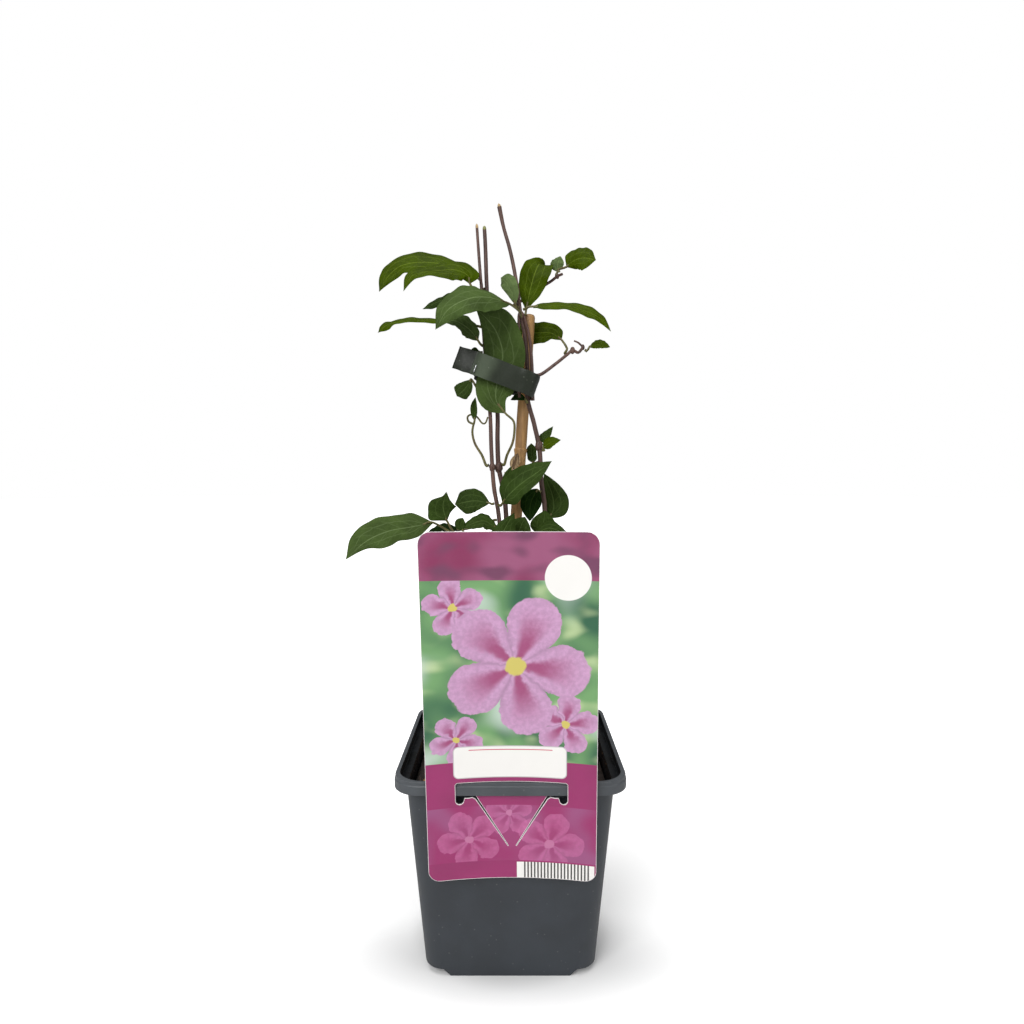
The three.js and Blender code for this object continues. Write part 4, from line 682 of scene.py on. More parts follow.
def bright_wire():
    material, tree, shader = surface("bright_wire", 0.3, 1.0)
    marks = tree.group("speckle", {"Place": tree.millimetres(), "Size": 0.6})
    tree.feed(shader.inputs["Base Color"], tree.mix(
        marks["Cloud"], paint(150, 152, 154), paint(206, 208, 208)))
    tree.feed(shader.inputs["Roughness"], tree.span(marks["Cloud"], 0.2, 0.42))
    return material


# ---- the card's print ----------------------------------------------------------------------------

HEAD_FOOT = 159.8  # the plain head band ends here, and the picture begins
PICTURE_FOOT = 91.0
SOFT_BAND_TOP = 73.2
SOFT_BAND_FOOT = 51.1
DISC = (20.8, 160.8, 8.2)
PLATE = ((-21.1, 20.2), (84.8, 96.8))
PLATE_LINE = ((-15.7, 15.3), 95.6, 0.35)
STRIPES = ((1.7, 30.7), (43.0, 50.5))
STRIPE_PITCH = 1.25
# Half the width over which a printed edge fades.
BAND_FADE = 0.06
BOX_FADE = 0.05
DISC_FADE = 0.08
# Printed blossoms: across, height, radius, turn and petals.
PICTURE_BLOOMS = [(-20, 100, 10, 0.3, 5), (20, 106, 12, 1.1, 5), (-20, 150, 11, 0.8, 5), (2, 128, 27, 0.1, 5)]
SOFT_BLOOMS = [(-16, 60, 12, 0.5, 5), (14, 58, 13, 0.0, 5), (-1, 70, 9, 0.9, 5)]


def box_mask(tree, x, z, across, up, radius):
    """1 inside a rectangle with round corners."""
    parts = []
    for value, (low, high) in ((x, across), (z, up)):
        off = tree.math("ABSOLUTE", tree.math("SUBTRACT", value, (low + high) / 2))
        parts.append(tree.math("MAXIMUM", tree.math("SUBTRACT", off, (high - low) / 2 - radius), 0.0))
    square = tree.math("ADD", *(tree.math("MULTIPLY", part, part) for part in parts))
    return tree.ramp(tree.math("SQRT", square), radius + BOX_FADE, radius - BOX_FADE)


def disc_mask(tree, x, z, centre_x, centre_z, radius):
    """1 inside a disc."""
    parts = [tree.math("SUBTRACT", x, centre_x), tree.math("SUBTRACT", z, centre_z)]
    square = tree.math("ADD", *(tree.math("MULTIPLY", part, part) for part in parts))
    return tree.ramp(tree.math("SQRT", square), radius + DISC_FADE, radius - DISC_FADE)


def print_blooms(tree, x, z, ground, blooms, petal, streak, heart, strength):
    """Lays each blossom over the ground colour, the first one lowest."""
    place = tree.millimetres()
    wrinkle = tree.noise(place, 0.7, 3.0)
    for across, up, radius, turn, petals in blooms:
        ruffle = tree.math("MULTIPLY_ADD", tree.noise(place, 0.35, 2.0), 2.4, -1.2)
        marks = tree.group("bloom", {
            "Across": tree.math("SUBTRACT", tree.math("ADD", x, ruffle), across),
            "Up": tree.math("SUBTRACT", tree.math("ADD", z, ruffle), up),
            "Radius": radius, "Turn": turn, "Petals": petals})
        leafy = tree.mix(tree.ramp(wrinkle, 0.3, 0.75), shaded(petal, 0.88), shaded(petal, 1.08))
        leafy = tree.mix(tree.math("MULTIPLY", marks["Streak"], 0.85), leafy, streak)
        leafy = tree.mix(tree.math("MULTIPLY", marks["Crease"], 0.45), leafy, shaded(petal, 0.5))
        leafy = tree.mix(marks["Heart"], leafy, heart)
        ground = tree.mix(tree.math("MULTIPLY", marks["Petal"], strength), ground, leafy)
    return ground


def card_print(colours):
    material, tree, shader = surface("card_print", 0.34)
    shader.inputs["Coat Weight"].default_value = 0.25
    place = tree.millimetres()
    x, _, z = tree.apart(place)
    x = tree.math("SUBTRACT", x, CARD_X + CARD_STRAY * CARD_BOTTOM)
    x = tree.math("MULTIPLY_ADD", z, CARD_STRAY, x)
    band = tuple(colours.label)
    cloud = tree.noise(tree.stretched(place, 1.0, 0.0, 1.0), 0.05, 1.0)
    blotch = tree.noise(tree.stretched(place, 1.0, 0.0, 1.6), 0.07, 1.0)

    head = tree.mix(tree.ramp(cloud, 0.3, 0.62), paint(130, 34, 82), paint(150, 76, 114))
    head = tree.mix(tree.ramp(blotch, 0.46, 0.66), head, paint(110, 52, 86))
    green = tree.mix(tree.ramp(cloud, 0.32, 0.62), paint(34, 92, 62), paint(110, 158, 100))
    green = tree.mix(tree.ramp(blotch, 0.5, 0.8), green, paint(196, 214, 160))
    green = tree.mix(tree.ramp(tree.noise(place, 0.04, 1.0), 0.5, 0.74), green, paint(200, 216, 206))
    picture = print_blooms(tree, x, z, green, PICTURE_BLOOMS, paint(196, 150, 188), paint(148, 36, 96),
                           paint(204, 190, 96), 1.0)
    pale = tree.mix(tree.ramp(cloud, 0.4, 0.65), shaded(band, 1.05), paint(150, 74, 122))
    soft = print_blooms(tree, x, z, pale, SOFT_BLOOMS, paint(192, 100, 152), band, paint(206, 130, 170), 0.6)
    plain = tree.mix(tree.ramp(cloud, 0.3, 0.75), shaded(band, 0.9), shaded(band, 1.1))

    ground = tree.mix(tree.ramp(z, HEAD_FOOT - BAND_FADE, HEAD_FOOT + BAND_FADE), picture, head)
    for top, below in ((PICTURE_FOOT, plain), (SOFT_BAND_TOP, soft), (SOFT_BAND_FOOT, plain)):
        ground = tree.mix(tree.ramp(z, top + BAND_FADE, top - BAND_FADE), ground, below)

    white = paint(238, 236, 232)
    ground = tree.mix(disc_mask(tree, x, z, *DISC), ground, white)
    across, up = PLATE
    rim = box_mask(tree, x, z, (across[0] - 0.35, across[1] + 0.35), (up[0] - 0.35, up[1] + 0.35), 2.0)
    ground = tree.mix(rim, ground, paint(196, 190, 192))
    ground = tree.mix(box_mask(tree, x, z, across, up, 1.7), ground, white)
    across, height, thick = PLATE_LINE
    line = box_mask(tree, x, z, across, (height - thick / 2, height + thick / 2), thick / 2)
    ground = tree.mix(line, ground, paint(196, 62, 92))
    across, up = STRIPES
    inside = box_mask(tree, x, z, across, up, 0.1)
    phase = tree.math("FRACT", tree.math("DIVIDE", x, STRIPE_PITCH))
    bars = tree.math("MULTIPLY", tree.ramp(phase, 0.5, 0.56), tree.ramp(x, across[0] + 2.6, across[0] + 2.7))
    bars = tree.math("MULTIPLY", bars, tree.ramp(x, across[1] - 1.9, across[1] - 2.0))
    ground = tree.mix(inside, ground, tree.mix(bars, white, paint(70, 66, 66)))
    tree.feed(shader.inputs["Base Color"], ground)
    marks = tree.group("speckle", {"Place": place, "Size": 2.6})
    tree.feed(shader.inputs["Roughness"], tree.span(marks["Cloud"], 0.26, 0.42))
    tree.feed(shader.inputs["Normal"], tree.bump(marks["Cloud"], 0.06, 0.2))
    return material


def card_stock(name, shade):
    material, tree, shader = surface(name, 0.6)
    marks = tree.group("speckle", {"Place": tree.millimetres(), "Size": 1.4})
    tree.feed(shader.inputs["Base Color"], tree.mix(marks["Cloud"], shaded(shade, 0.9), shade))
    tree.feed(shader.inputs["Roughness"], tree.span(marks["Cloud"], 0.5, 0.7))
    return material


def make_materials():
    """Every finish, by name."""
    colours = bpy.context.scene.plant_colours
    vein = paint(150, 168, 104)
    made = [
        pot_plastic(colours), pot_inside_painted_shade(colours), compost(colours), chip_bark(colours),
        dry_bamboo(colours),
        young_wood("stem_bark", tuple(colours.stem), paint(120, 88, 72)),
        young_wood("cut_wood", paint(168, 140, 96), paint(120, 96, 60)),
        young_wood("green_tip", paint(122, 124, 66), paint(96, 92, 50)),
        young_wood("stalk_skin", paint(92, 88, 44), paint(104, 70, 50)),
        # bright_face holds painted light, deep_face painted shade.
        leaf_face("bright_face", tuple(colours.bright), paint(146, 166, 66), 0.36, 0.35),
        leaf_face("matte_face", tuple(colours.matte), paint(146, 166, 116), 0.52, 0.3),
        leaf_face("deep_face", tuple(colours.deep), paint(82, 110, 48), 0.42, 0.35),
        leaf_face("lower_face", tuple(colours.lower), paint(126, 150, 88), 0.46, 0.35),
        leaf_face("pale_face", tuple(colours.pale), vein, 0.55, 0.3),
        leaf_face("under_face", shaded(tuple(colours.pale), 0.9), vein, 0.6, 0.4, sunk=False),
        dry_blade(), green_tape(colours), bright_wire(), card_print(colours),
        card_stock("card_edge", paint(232, 226, 226)), card_stock("card_back", paint(226, 226, 222)),
    ]
    return {material.name: material for material in made}


MATERIALS = {}


# ---- mesh tools, all in millimetres until a piece is settled -------------------------------------

class Route:
    """A smooth curve through points, the one that the frame's tubes and blades follow."""

    def __init__(self, points):
        self.points = [Vector(point) for point in points]

    def at(self, share):
        last = len(self.points) - 1
        step = min(int(share * last), last - 1)
        part = share * last - step
        here, there = self.points[step], self.points[step + 1]
        before = self.points[step - 1] if step else 2 * here - there
        after = self.points[step + 2] if step + 2 <= last else 2 * there - here
        start, end = (there - before) / 2, (after - here) / 2
        curve = (2 * here - 2 * there + start + end) * part + (3 * there - 3 * here - 2 * start - end)
        return (curve * part + start) * part + here

    def heading(self, share):
        small = 1e-4
        return (self.at(min(1, share + small)) - self.at(max(0, share - small))).normalized()

    def share_at(self, height):
        """The share of a climbing curve where it reaches a height."""
        low, high = 0.0, 1.0
        while high - low > 1e-5:
            middle = (low + high) / 2
            low, high = (middle, high) if self.at(middle).z < height else (low, middle)
        return low

    def length(self):
        points = [self.at(step / 60) for step in range(61)]
        return sum((b - a).length for a, b in zip(points, points[1:]))


def only(kind, made):
    return [item for item in made if isinstance(item, kind)]


def extruded(bm, edges):
    """Extrudes a ring of open edges: returns the new ring's edges and vertices."""
    made = bmesh.ops.extrude_edge_only(bm, edges=edges)["geom"]
    verts = only(bmesh.types.BMVert, made)
    fresh = set(verts)
    return [edge for edge in only(bmesh.types.BMEdge, made) if set(edge.verts) <= fresh], verts


def faces_of(verts):
    return {face for vert in verts for face in vert.link_faces}


def tube(bm, route, radius_at, sides, step, material=0, tip=None):
    """Sweeps a circle along a route. tip is (share, material): from there on it has another material."""
    steps = max(3, round(route.length() / step))
    ahead = route.heading(0)
    side = ahead.orthogonal().normalized()
    edges = verts = before = None
    for index in range(steps + 1):
        share = index / steps
        turned = route.heading(share)
        side = (side - turned * side.dot(turned)).normalized()
        placed = Matrix((side, turned.cross(side), turned)).transposed().to_4x4()
        placed.translation = route.at(share)
        placed = placed @ Matrix.Scale(radius_at(share), 4)
        if index == 0:
            verts = bmesh.ops.create_circle(bm, segments=sides, radius=1, cap_ends=False)["verts"]
            edges = list({edge for vert in verts for edge in vert.link_edges})
            bmesh.ops.transform(bm, matrix=placed, verts=verts)
            caps = bmesh.ops.contextual_create(bm, geom=edges)["faces"]
        else:
            edges, verts = extruded(bm, edges)
            bmesh.ops.transform(bm, matrix=placed @ before.inverted(), verts=verts)
            late = tip is not None and share > tip[0]
            for face in faces_of(verts):
                face.material_index = tip[1] if late else material
        before = placed
    caps += bmesh.ops.contextual_create(bm, geom=edges)["faces"]
    caps[0].material_index = material
    caps[-1].material_index = tip[1] if tip else material


def settle(bm, name, materials, node):
    """Makes the finished mesh a piece of the plant, in metres, in place of the frame's node."""
    bmesh.ops.scale(bm, vec=(MM, MM, MM), verts=bm.verts)
    bmesh.ops.recalc_face_normals(bm, faces=bm.faces)
    for face in bm.faces:
        face.smooth = True
    for edge in bm.edges:
        edge.smooth = not edge.is_manifold or edge.calc_face_angle(0) < SHARP_EDGE
    mesh = bpy.data.meshes.new(name)
    bm.to_mesh(mesh)
    bm.free()
    for material in materials:
        mesh.materials.append(MATERIALS[material])
    piece = bpy.data.objects.new(name, mesh)
    bpy.context.scene.collection.objects.link(piece)
    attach(piece, BODY)
    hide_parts(node)
    return piece


# ---- pot and soil --------------------------------------------------------------------------------

def wall_half(height):
    return BASE_HALF + (WALL_TOP_HALF - BASE_HALF) * height / LIP_BOTTOM


def square_ring(bm, half, height):
    """Makes a square face with round corners and returns its edges, the long ones split evenly."""
    verts = bmesh.ops.create_grid(bm, x_segments=1, y_segments=1, size=half)["verts"]
    bmesh.ops.bevel(bm, geom=verts, affect="VERTICES", offset=half * CORNER_SHARE, offset_type="OFFSET",
                    segments=10, profile=0.5, material=-1)
    sides = [edge for edge in bm.edges if edge.calc_length() > half]
    bmesh.ops.subdivide_edges(bm, edges=sides, cuts=9)
    bmesh.ops.translate(bm, vec=(0, 0, height), verts=bm.verts)
    return list(bm.edges)


def raised(bm, edges, profile):
    """Carries a ring on through a profile of (half width, height). The first row is where the ring is."""
    for (half, height), (next_half, next_height) in zip(profile, profile[1:]):
        edges, verts = extruded(bm, edges)
        share = next_half / half
        bmesh.ops.scale(bm, vec=(share, share, 1), verts=verts)
        bmesh.ops.translate(bm, vec=(0, 0, next_height - height), verts=verts)
    return edges


def cut(bm, cutters):
    """The mesh with the cutters' meshes taken out of it."""
    scene = bpy.context.scene
    made = []
    for name, source in (("cut_body", bm), ("cut_tool", cutters)):
        mesh = bpy.data.meshes.new(name)
        bmesh.ops.recalc_face_normals(source, faces=source.faces)
        source.to_mesh(mesh)
        source.free()
        made.append(bpy.data.objects.new(name, mesh))
        scene.collection.objects.link(made[-1])
    body, tool = made
    boolean = body.modifiers.new("cut", "BOOLEAN")
    boolean.object = tool
    boolean.operation = "DIFFERENCE"
    boolean.solver = "EXACT"
    boolean.use_self = True
    result = bmesh.new()
    result.from_object(body, bpy.context.evaluated_depsgraph_get())
    for item in made:
        mesh = item.data
        bpy.data.objects.remove(item)
        bpy.data.meshes.remove(mesh)
    return result


def build_pot(sizes):
    """The moulded pot: walls, turned-over lip, stacking ledge, raised corners and drain holes."""
    bm = bmesh.new()
    inside = RIM_HALF - LIP_THICK
    ledge_half = WALL_TOP_HALF - WALL_THICK
    floor_half = wall_half(FLOOR_TOP) - WALL_THICK
    edges = square_ring(bm, BASE_HALF, 0)
    middle = LIP_BOTTOM / 2
    bead = RIM_HALF - BEAD_INSET
    edges = raised(bm, edges, [
        (BASE_HALF, 0), (wall_half(12), 12), (wall_half(middle), middle), (WALL_TOP_HALF, LIP_BOTTOM),
        (RIM_HALF, LIP_BOTTOM), (RIM_HALF, RIM_TOP - BEAD_FOOT), (bead, RIM_TOP - BEAD_SHOULDER),
        (bead, RIM_TOP), (inside, RIM_TOP), (inside, LEDGE_TOP), (ledge_half, LEDGE_TOP),
        (ledge_half - 0.35, LEDGE_TOP - 9), (wall_half(middle) - WALL_THICK, middle),
        (floor_half, FLOOR_TOP)])
    bmesh.ops.contextual_create(bm, geom=edges)
    cutters = bmesh.new()
    centre, depth = 40.0, 1.0
    below = (centre - FOOT_HALF + depth) * math.sqrt(2)
    above = (centre - FOOT_HALF - CORNER_RAISE) * math.sqrt(2)
    quarter = Matrix.Rotation(math.pi / 4, 4, "Z")
    for x in (-1, 1):
        for y in (-1, 1):
            place = Matrix.Translation((x * centre, y * centre, (CORNER_RAISE - depth) / 2))
            bmesh.ops.create_cone(cutters, cap_ends=True, segments=4, radius1=below, radius2=above,
                                  depth=CORNER_RAISE + depth, matrix=place @ quarter)
            place = Matrix.Translation((x * DRAIN_PLACE, y * DRAIN_PLACE, 0))
            bmesh.ops.create_cone(cutters, cap_ends=True, segments=24, radius1=DRAIN_RADIUS,
                                  radius2=DRAIN_RADIUS, depth=3 * FLOOR_TOP, matrix=place)
    piece = settle(cut(bm, cutters), "nursery_pot", ["pot_plastic", "pot_inside_painted_shade"], "pot")
    # The walls and the ledge inside the pot take the material of painted shade.
    for face in piece.data.polygons:
        across = face.center * Vector((1, 1, 0))
        height = face.center.z / MM
        wall = face.normal.dot(across) < -0.2 * across.length and height < RIM_TOP - 0.5
        ledge = face.normal.z > 0.7 and height < LEDGE_TOP + 1
        if height > FLOOR_TOP and (wall or ledge):
            face.material_index = 1
    rounding = piece.modifiers.new("moulded edges", "BEVEL")
    rounding.width = sizes.pot_edge
    rounding.segments = 3
    rounding.limit_method = "ANGLE"
    rounding.angle_limit = math.radians(28)
    rounding.harden_normals = True


def soil_height(x, y):
    rough = math.sin(x * 0.83 + y * 0.31) * math.cos(y * 0.71 - x * 0.19) + 0.6 * math.sin(x * 1.7 + y * 1.3)
    mound = 1.5 * math.exp(-(x * x + y * y) / 300)
    crumbs = 0.9 * noise.fractal(Vector((x, y, 0)) * 0.35, 0.8, 2.0, 4)
    return SOIL_TOP + mound + 1.3 * rough * 0.6 + crumbs


def scatter(draw, edge):
    """A random place on the soil, with a matrix that lies it down there."""
    x, y = draw.uniform(-edge, edge), draw.uniform(-edge, edge)
    tilt = Matrix.Rotation(draw.gauss(0, 0.35), 4, "X") @ Matrix.Rotation(draw.gauss(0, 0.35), 4, "Y")
    turn = Matrix.Rotation(draw.uniform(0, 6.3), 4, "Z")
    return Matrix.Translation((x, y, soil_height(x, y) + 0.25)) @ turn @ tilt


def build_soil(sizes):
    """Compost filled to just under the rim, with bark chips and fibres on top."""
    draw = random.Random(sizes.seed)
    bm = bmesh.new()
    floor = FLOOR_TOP + SEAT_GAP
    edge = wall_half(SOIL_TOP) - WALL_THICK - SEAT_GAP
    low = wall_half(floor) - WALL_THICK - SEAT_GAP
    edges = square_ring(bm, low, floor)
    rings = [edge * (1 - step / SOIL_RINGS) for step in range(1, SOIL_RINGS)]
    edges = raised(bm, edges, [(low, floor), (edge, SOIL_TOP - 1.5)] + [(half, SOIL_TOP) for half in rings])
    bmesh.ops.contextual_create(bm, geom=edges)
    for vert in bm.verts:
        if vert.co.z > SOIL_TOP - 0.5:
            vert.co.z = soil_height(vert.co.x, vert.co.y)
    for _ in range(sizes.chips):
        size = Matrix.Diagonal((draw.uniform(0.8, 3.0), draw.uniform(0.6, 1.5), draw.uniform(0.3, 0.7), 1))
        chip = bmesh.ops.create_icosphere(bm, subdivisions=1, radius=1, matrix=scatter(draw, edge - 3) @ size)
        for vert in chip["verts"]:
            vert.co += Vector((draw.gauss(0, 0.14), draw.gauss(0, 0.14), draw.gauss(0, 0.1)))
        for face in faces_of(chip["verts"]):
            face.material_index = 1
    for _ in range(sizes.fibres):
        place = scatter(draw, edge - 5)
        reach, bend = draw.uniform(1.5, 4), draw.uniform(-1.2, 1.2)
        points = [(-reach, 0, 0.1), (0, bend, 0.5), (reach, 0, 0.1)]
        tube(bm, Route([place @ Vector(point) for point in points]), lambda share: 0.14, 4, 1.4, 1)
    settle(bm, "compost_fill", ["compost", "chip_bark"], "soil")


# ---- cane, stems and leaves ----------------------------------------------------------------------

def build_cane():
    """A bamboo cane with two joints and a rounded top."""
    bm = bmesh.new()
    axis = CANE_TOP - CANE_BOTTOM
    profile = [(CANE_RADIUS, 0)]
    for height in CANE_NODES:
        profile += [(CANE_RADIUS + out, height + above) for above, out in CANE_JOINT]
    profile += [(CANE_RADIUS * share, axis.length - below) for below, share in CANE_END]
    verts = bmesh.ops.create_circle(bm, segments=28, radius=CANE_RADIUS)["verts"]
    edges = list({edge for vert in verts for edge in vert.link_edges})
    bmesh.ops.contextual_create(bm, geom=edges)
    edges = raised(bm, edges, profile)
    bmesh.ops.contextual_create(bm, geom=edges)
    long_edges = [edge for edge in bm.edges if edge.calc_length() > 20]
    bmesh.ops.subdivide_edges(bm, edges=long_edges, cuts=20, use_grid_fill=True)
    for vert in bm.verts:
        swell = 0.05 * noise.noise(Vector((vert.co.x * 0.8, vert.co.y * 0.8, vert.co.z * 0.06)))
        vert.co.x *= 1 + swell
        vert.co.y *= 1 + swell
    turn = axis.to_track_quat("Z", "Y").to_matrix().to_4x4()
    bmesh.ops.transform(bm, matrix=Matrix.Translation(CANE_BOTTOM) @ turn, verts=bm.verts)
    settle(bm, "cane", ["dry_bamboo"], "bamboo_cane")


CARRIERS = {}


def carrier(name):
    """The curve and radii of what a leaf or side stem grows from."""
    if name not in CARRIERS:
        if name in STEMS:
            radii, points = STEMS[name]
            CARRIERS[name] = Route(points), radii
        else:
            start, points = SIDE_STEMS[name][:2]
            CARRIERS[name] = Route(rooted("right", start, points[0]) + points), (TWIG_RADIUS, TWIG_RADIUS)
    return CARRIERS[name]


def swell(name, height, share):
    """A carrier's greatest radius round a height, with a swollen joint counted where there is one."""
    first, last = carrier(name)[1]
    widest = first + (last - first) * share
    knobs = [joint[1:] for joint in STEM_JOINTS if joint[0] == name]
    if name in SIDE_STEMS:
        knobs = [bud[2:] for bud in SIDE_STEMS[name][2]]
    sizes = [size for place, size in knobs if abs(place - height) < size * 1.5 + STALK_RADIUS]
    return max([widest] + sizes)


def rooted(name, height, towards):
    """The first two points of what grows from a carrier at a height, towards a place."""
    route = carrier(name)[0]
    share = route.share_at(height)
    along = route.heading(share)
    outward = Vector(towards) - route.at(share)
    outward = (outward - along * outward.dot(along)).normalized()
    seat = swell(name, height, share) + SEAT_GAP
    return [route.at(share) + outward * seat, route.at(share) + outward * (seat + 1.2)]


def joint_shape(bm, place, radius):
    """A swollen joint: an egg with a rough skin."""
    squeeze = Matrix.Translation(place) @ Matrix.Diagonal((radius, radius, radius * 1.5, 1))
    made = bmesh.ops.create_icosphere(bm, subdivisions=3, radius=1, matrix=squeeze)["verts"]
    for vert in made:
        vert.co += (vert.co - Vector(place)) * 0.16 * noise.noise(vert.co * 1.4)


# Old leaf stalks that lie along a stem, by their points.
STRANDS = {
    "left": [],
    "middle": [[(-6.6, -4.4, 226), (-7.6, -4, 240), (-8.6, -3.6, 252), (-8.4, -3.4, 264)]],
    "right": [[(3.6, -3.4, 229), (3.9, -3.2, 243), (3.4, -3, 255), (3.4, -2.6, 263)],
              [(9.3, -2, 228), (8.9, -2, 243), (7.9, -2, 254), (5.6, -2, 263)]],
}

# Where along each stem its tip begins, and the number of its material.
STEM_TIPS = {"left": (0.992, 1), "middle": (0.988, 2), "right": (0.99, 1)}


def build_stem(name, sizes):
    """A main stem with its swollen joints, thin ridges and its own kind of tip."""
    (first, last), points = STEMS[name]
    route = Route(points)
    share_of_tip, tip_material = STEM_TIPS[name]
    pointed = name == "right"

    def radius(share):
        size = first + (last - first) * share
        if share > share_of_tip:
            closing = (share - share_of_tip) / (1 - share_of_tip)
            return size * math.sqrt(max(0.02, 1 - closing ** 2))
        return size * (1 + 0.35 * pointed * max(0, share - 0.93) / 0.07)

    bm = bmesh.new()
    tube(bm, route, radius, 12, 0.9, 0, (share_of_tip, tip_material))
    bm.normal_update()
    for vert in bm.verts:
        vert.co += vert.normal * sizes.stem_ridge / MM * noise.fractal(
            Vector((vert.co.x * 1.3, vert.co.y * 1.3, vert.co.z * 0.12)), 1, 2, 3)
    for points in STRANDS[name]:
        tube(bm, Route(points), lambda share: 0.8 - 0.25 * share, 8, 1.5)
    for where, height, size in STEM_JOINTS:
        if where == name:
            joint_shape(bm, route.at(route.share_at(height)), size)
    settle(bm, f"vine_{name}", ["stem_bark", "cut_wood", "green_tip"], f"stem_{name}")


def build_side_stem(name):
    """A side stem with its buds."""
    route = carrier(name)[0]
    bm = bmesh.new()
    tube(bm, route, lambda share: TWIG_RADIUS * (1.08 - 0.25 * share), 10, 0.8)
    buds, tendril = SIDE_STEMS[name][2:]
    for x, y, z, radius in buds:
        joint_shape(bm, (x, y, z), radius * 0.85)
    add_tendril(bm, tendril, 0)
    settle(bm, name.replace("side_stem", "side_shoot"), ["stem_bark"], name)


def add_tendril(bm, points, material):
    if points:
        tube(bm, Route(points), lambda share: 0.45 - 0.1 * share, 8, 0.8, material)


def half_width(row, side, share):
    """How far a blade reaches out at a share of its length, to the left (0) or to the right (1)."""
    if row["edges"]:
        reaches = [0, *row["edges"][side], 0]
        return max(0.04, Route([(step, reach, 0) for step, reach in enumerate(reaches)]).at(share).y)
    bent = share ** (math.log(0.5) / math.log(row["widest"]))
    return max(0.04, row["width"] / 2 * max(0.0, math.sin(math.pi * bent)) ** 0.85)


def spine(share):
    """How full the blade is along its middle vein: 1 halfway, 0 at both ends."""
    return max(0.0, math.sin(math.pi * share)) ** 0.85


def blade(bm, row, thick, ripple, along=40, across=14):
    """A blade: an upper and a lower grid that meet in a thin edge."""
    route = Route(row["rib"])
    made = []
    for side in (1, -1):
        verts = bmesh.ops.create_grid(bm, x_segments=along, y_segments=across, size=1, calc_uvs=True)["verts"]
        for vert in verts:
            share, out = (vert.co.x + 1) / 2, vert.co.y
            ahead = route.heading(share)
            sideways = ahead.cross(Vector(row["face"])).normalized()
            normal = sideways.cross(ahead)
            half = half_width(row, out > 0, share)
            full = min(1, half / (row["width"] / 2))
            waves = row["wave"] * abs(out) * math.sin(share * WAVE_TURN + out)
            lift = full * (row["cup"] * out * out + waves)
            lift += ripple * full * out * out * math.sin(share * RIPPLE_TURN + 4 * out + row["width"])
            lift -= VEIN_FOLD * spine(share) * (1 - abs(out)) ** 3
            body = thick / 2 * spine(share) * (1 - out * out) * side
            vert.co = route.at(share) + sideways * out * half + normal * (lift + body)
        for face in faces_of(verts):
            face.material_index = 0 if side > 0 else 1
        made += verts
    bmesh.ops.remove_doubles(bm, verts=made, dist=1e-4)


def build_leaf(name, sizes):
    """A leaf: blade, stalk from its stem, and the middle vein that stands out below."""
    row = LEAVES[name]
    rib, stalk = row["rib"], row["stalk"]
    thick, ripple = sizes.leaf_thickness / MM, sizes.edge_ripple / MM * min(1, row["width"] / 9)
    bm = bmesh.new()
    bm.loops.layers.uv.new("leaf_grid")
    blade(bm, row, thick, ripple)
    route = Route(rib)
    start = rooted(row["stem"], row["at"], (stalk + rib)[0])
    way = Route(start + stalk + [rib[0], route.at(0.12)])
    tube(bm, way, lambda share: STALK_RADIUS * (1.1 - 0.35 * share), 9, 1.0, 2)
    add_tendril(bm, row["tendril"], 2)

    def under(share):
        """The middle vein's place just under the blade."""
        ahead = route.heading(share)
        normal = ahead.cross(Vector(row["face"])).normalized().cross(ahead)
        return route.at(share) - normal * (VEIN_FOLD * spine(share) + thick * 0.55)

    shares = [0.06 + 0.88 * step / 10 for step in range(11)]
    tube(bm, Route([under(share) for share in shares]), lambda share: 0.36 * (1 - share) + 0.06, 6, 2.0, 1)
    kind = row["finish"]
    faces = ["dry_blade"] * 3 if kind == "dry" else [f"{kind}_face", "under_face", "stalk_skin"]
    settle(bm, f"{name}_blade", faces, name)


# ---- tie, staple and card ------------------------------------------------------------------------

# The tape's way as seen from above, from its cut end in front, round the stems and out into the tab.
TAPE_PATH = [
    (-14.4, -10.9), (-12, -10.9), (-8, -10.7), (-3, -10.1), (4, -9.9), (8.5, -10), (11.6, -8.4), (12.9, -5.2),
    (13, 0), (12.9, 5.2), (11.4, 8.5), (8, 10), (3, 10.1), (-3, 9.9), (-8, 10.1), (-11.4, 8.5), (-12.9, 5.2),
    (-12.9, 0), (-12.3, -4.8), (-11.9, -7.7), (-12.7, -9.5), (-14.6, -9.8), (-18, -8.8), (-22.1, -7.3)]


def on_tie():
    """Places what is modelled round the tie's own middle."""
    return Matrix.Translation(TIE_CENTRE) @ Matrix.Rotation(TIE_SLOPE, 4, "Y")


def build_tie(sizes):
    """The tape: one strip, pinched flat where it meets itself and left long as a tab."""
    bm = bmesh.new()
    bm.loops.layers.uv.new("tape_grid")
    route = Route([(x, y, 0) for x, y in TAPE_PATH])
    thick = sizes.tape_thickness / MM
    made = []
    for side in (1, -1):
        verts = bmesh.ops.create_grid(bm, x_segments=240, y_segments=8, size=1, calc_uvs=True)["verts"]
        for vert in verts:
            share, up = (vert.co.x + 1) / 2, vert.co.y
            ahead = route.heading(share)
            outward = Vector((ahead.y, -ahead.x, 0))
            edge = max(abs(up), abs(2 * share - 1)) > 0.9999
            crumple = 0.35 * noise.noise(Vector((share * 22, up * 0.7, 3.1))) * (1 - 0.4 * abs(up))
            trim = 0.18 * noise.noise(Vector((share * 30, up * 4, 9)))
            push = crumple + (0 if edge else side * thick / 2)
            vert.co = route.at(share) + outward * push + Vector((0, 0, up * (TIE_HEIGHT / 2 + trim)))
        made += verts
    bmesh.ops.remove_doubles(bm, verts=made, dist=1e-4)
    bmesh.ops.transform(bm, matrix=on_tie(), verts=bm.verts)
    settle(bm, "tape", ["green_tape"], "tape_tie")


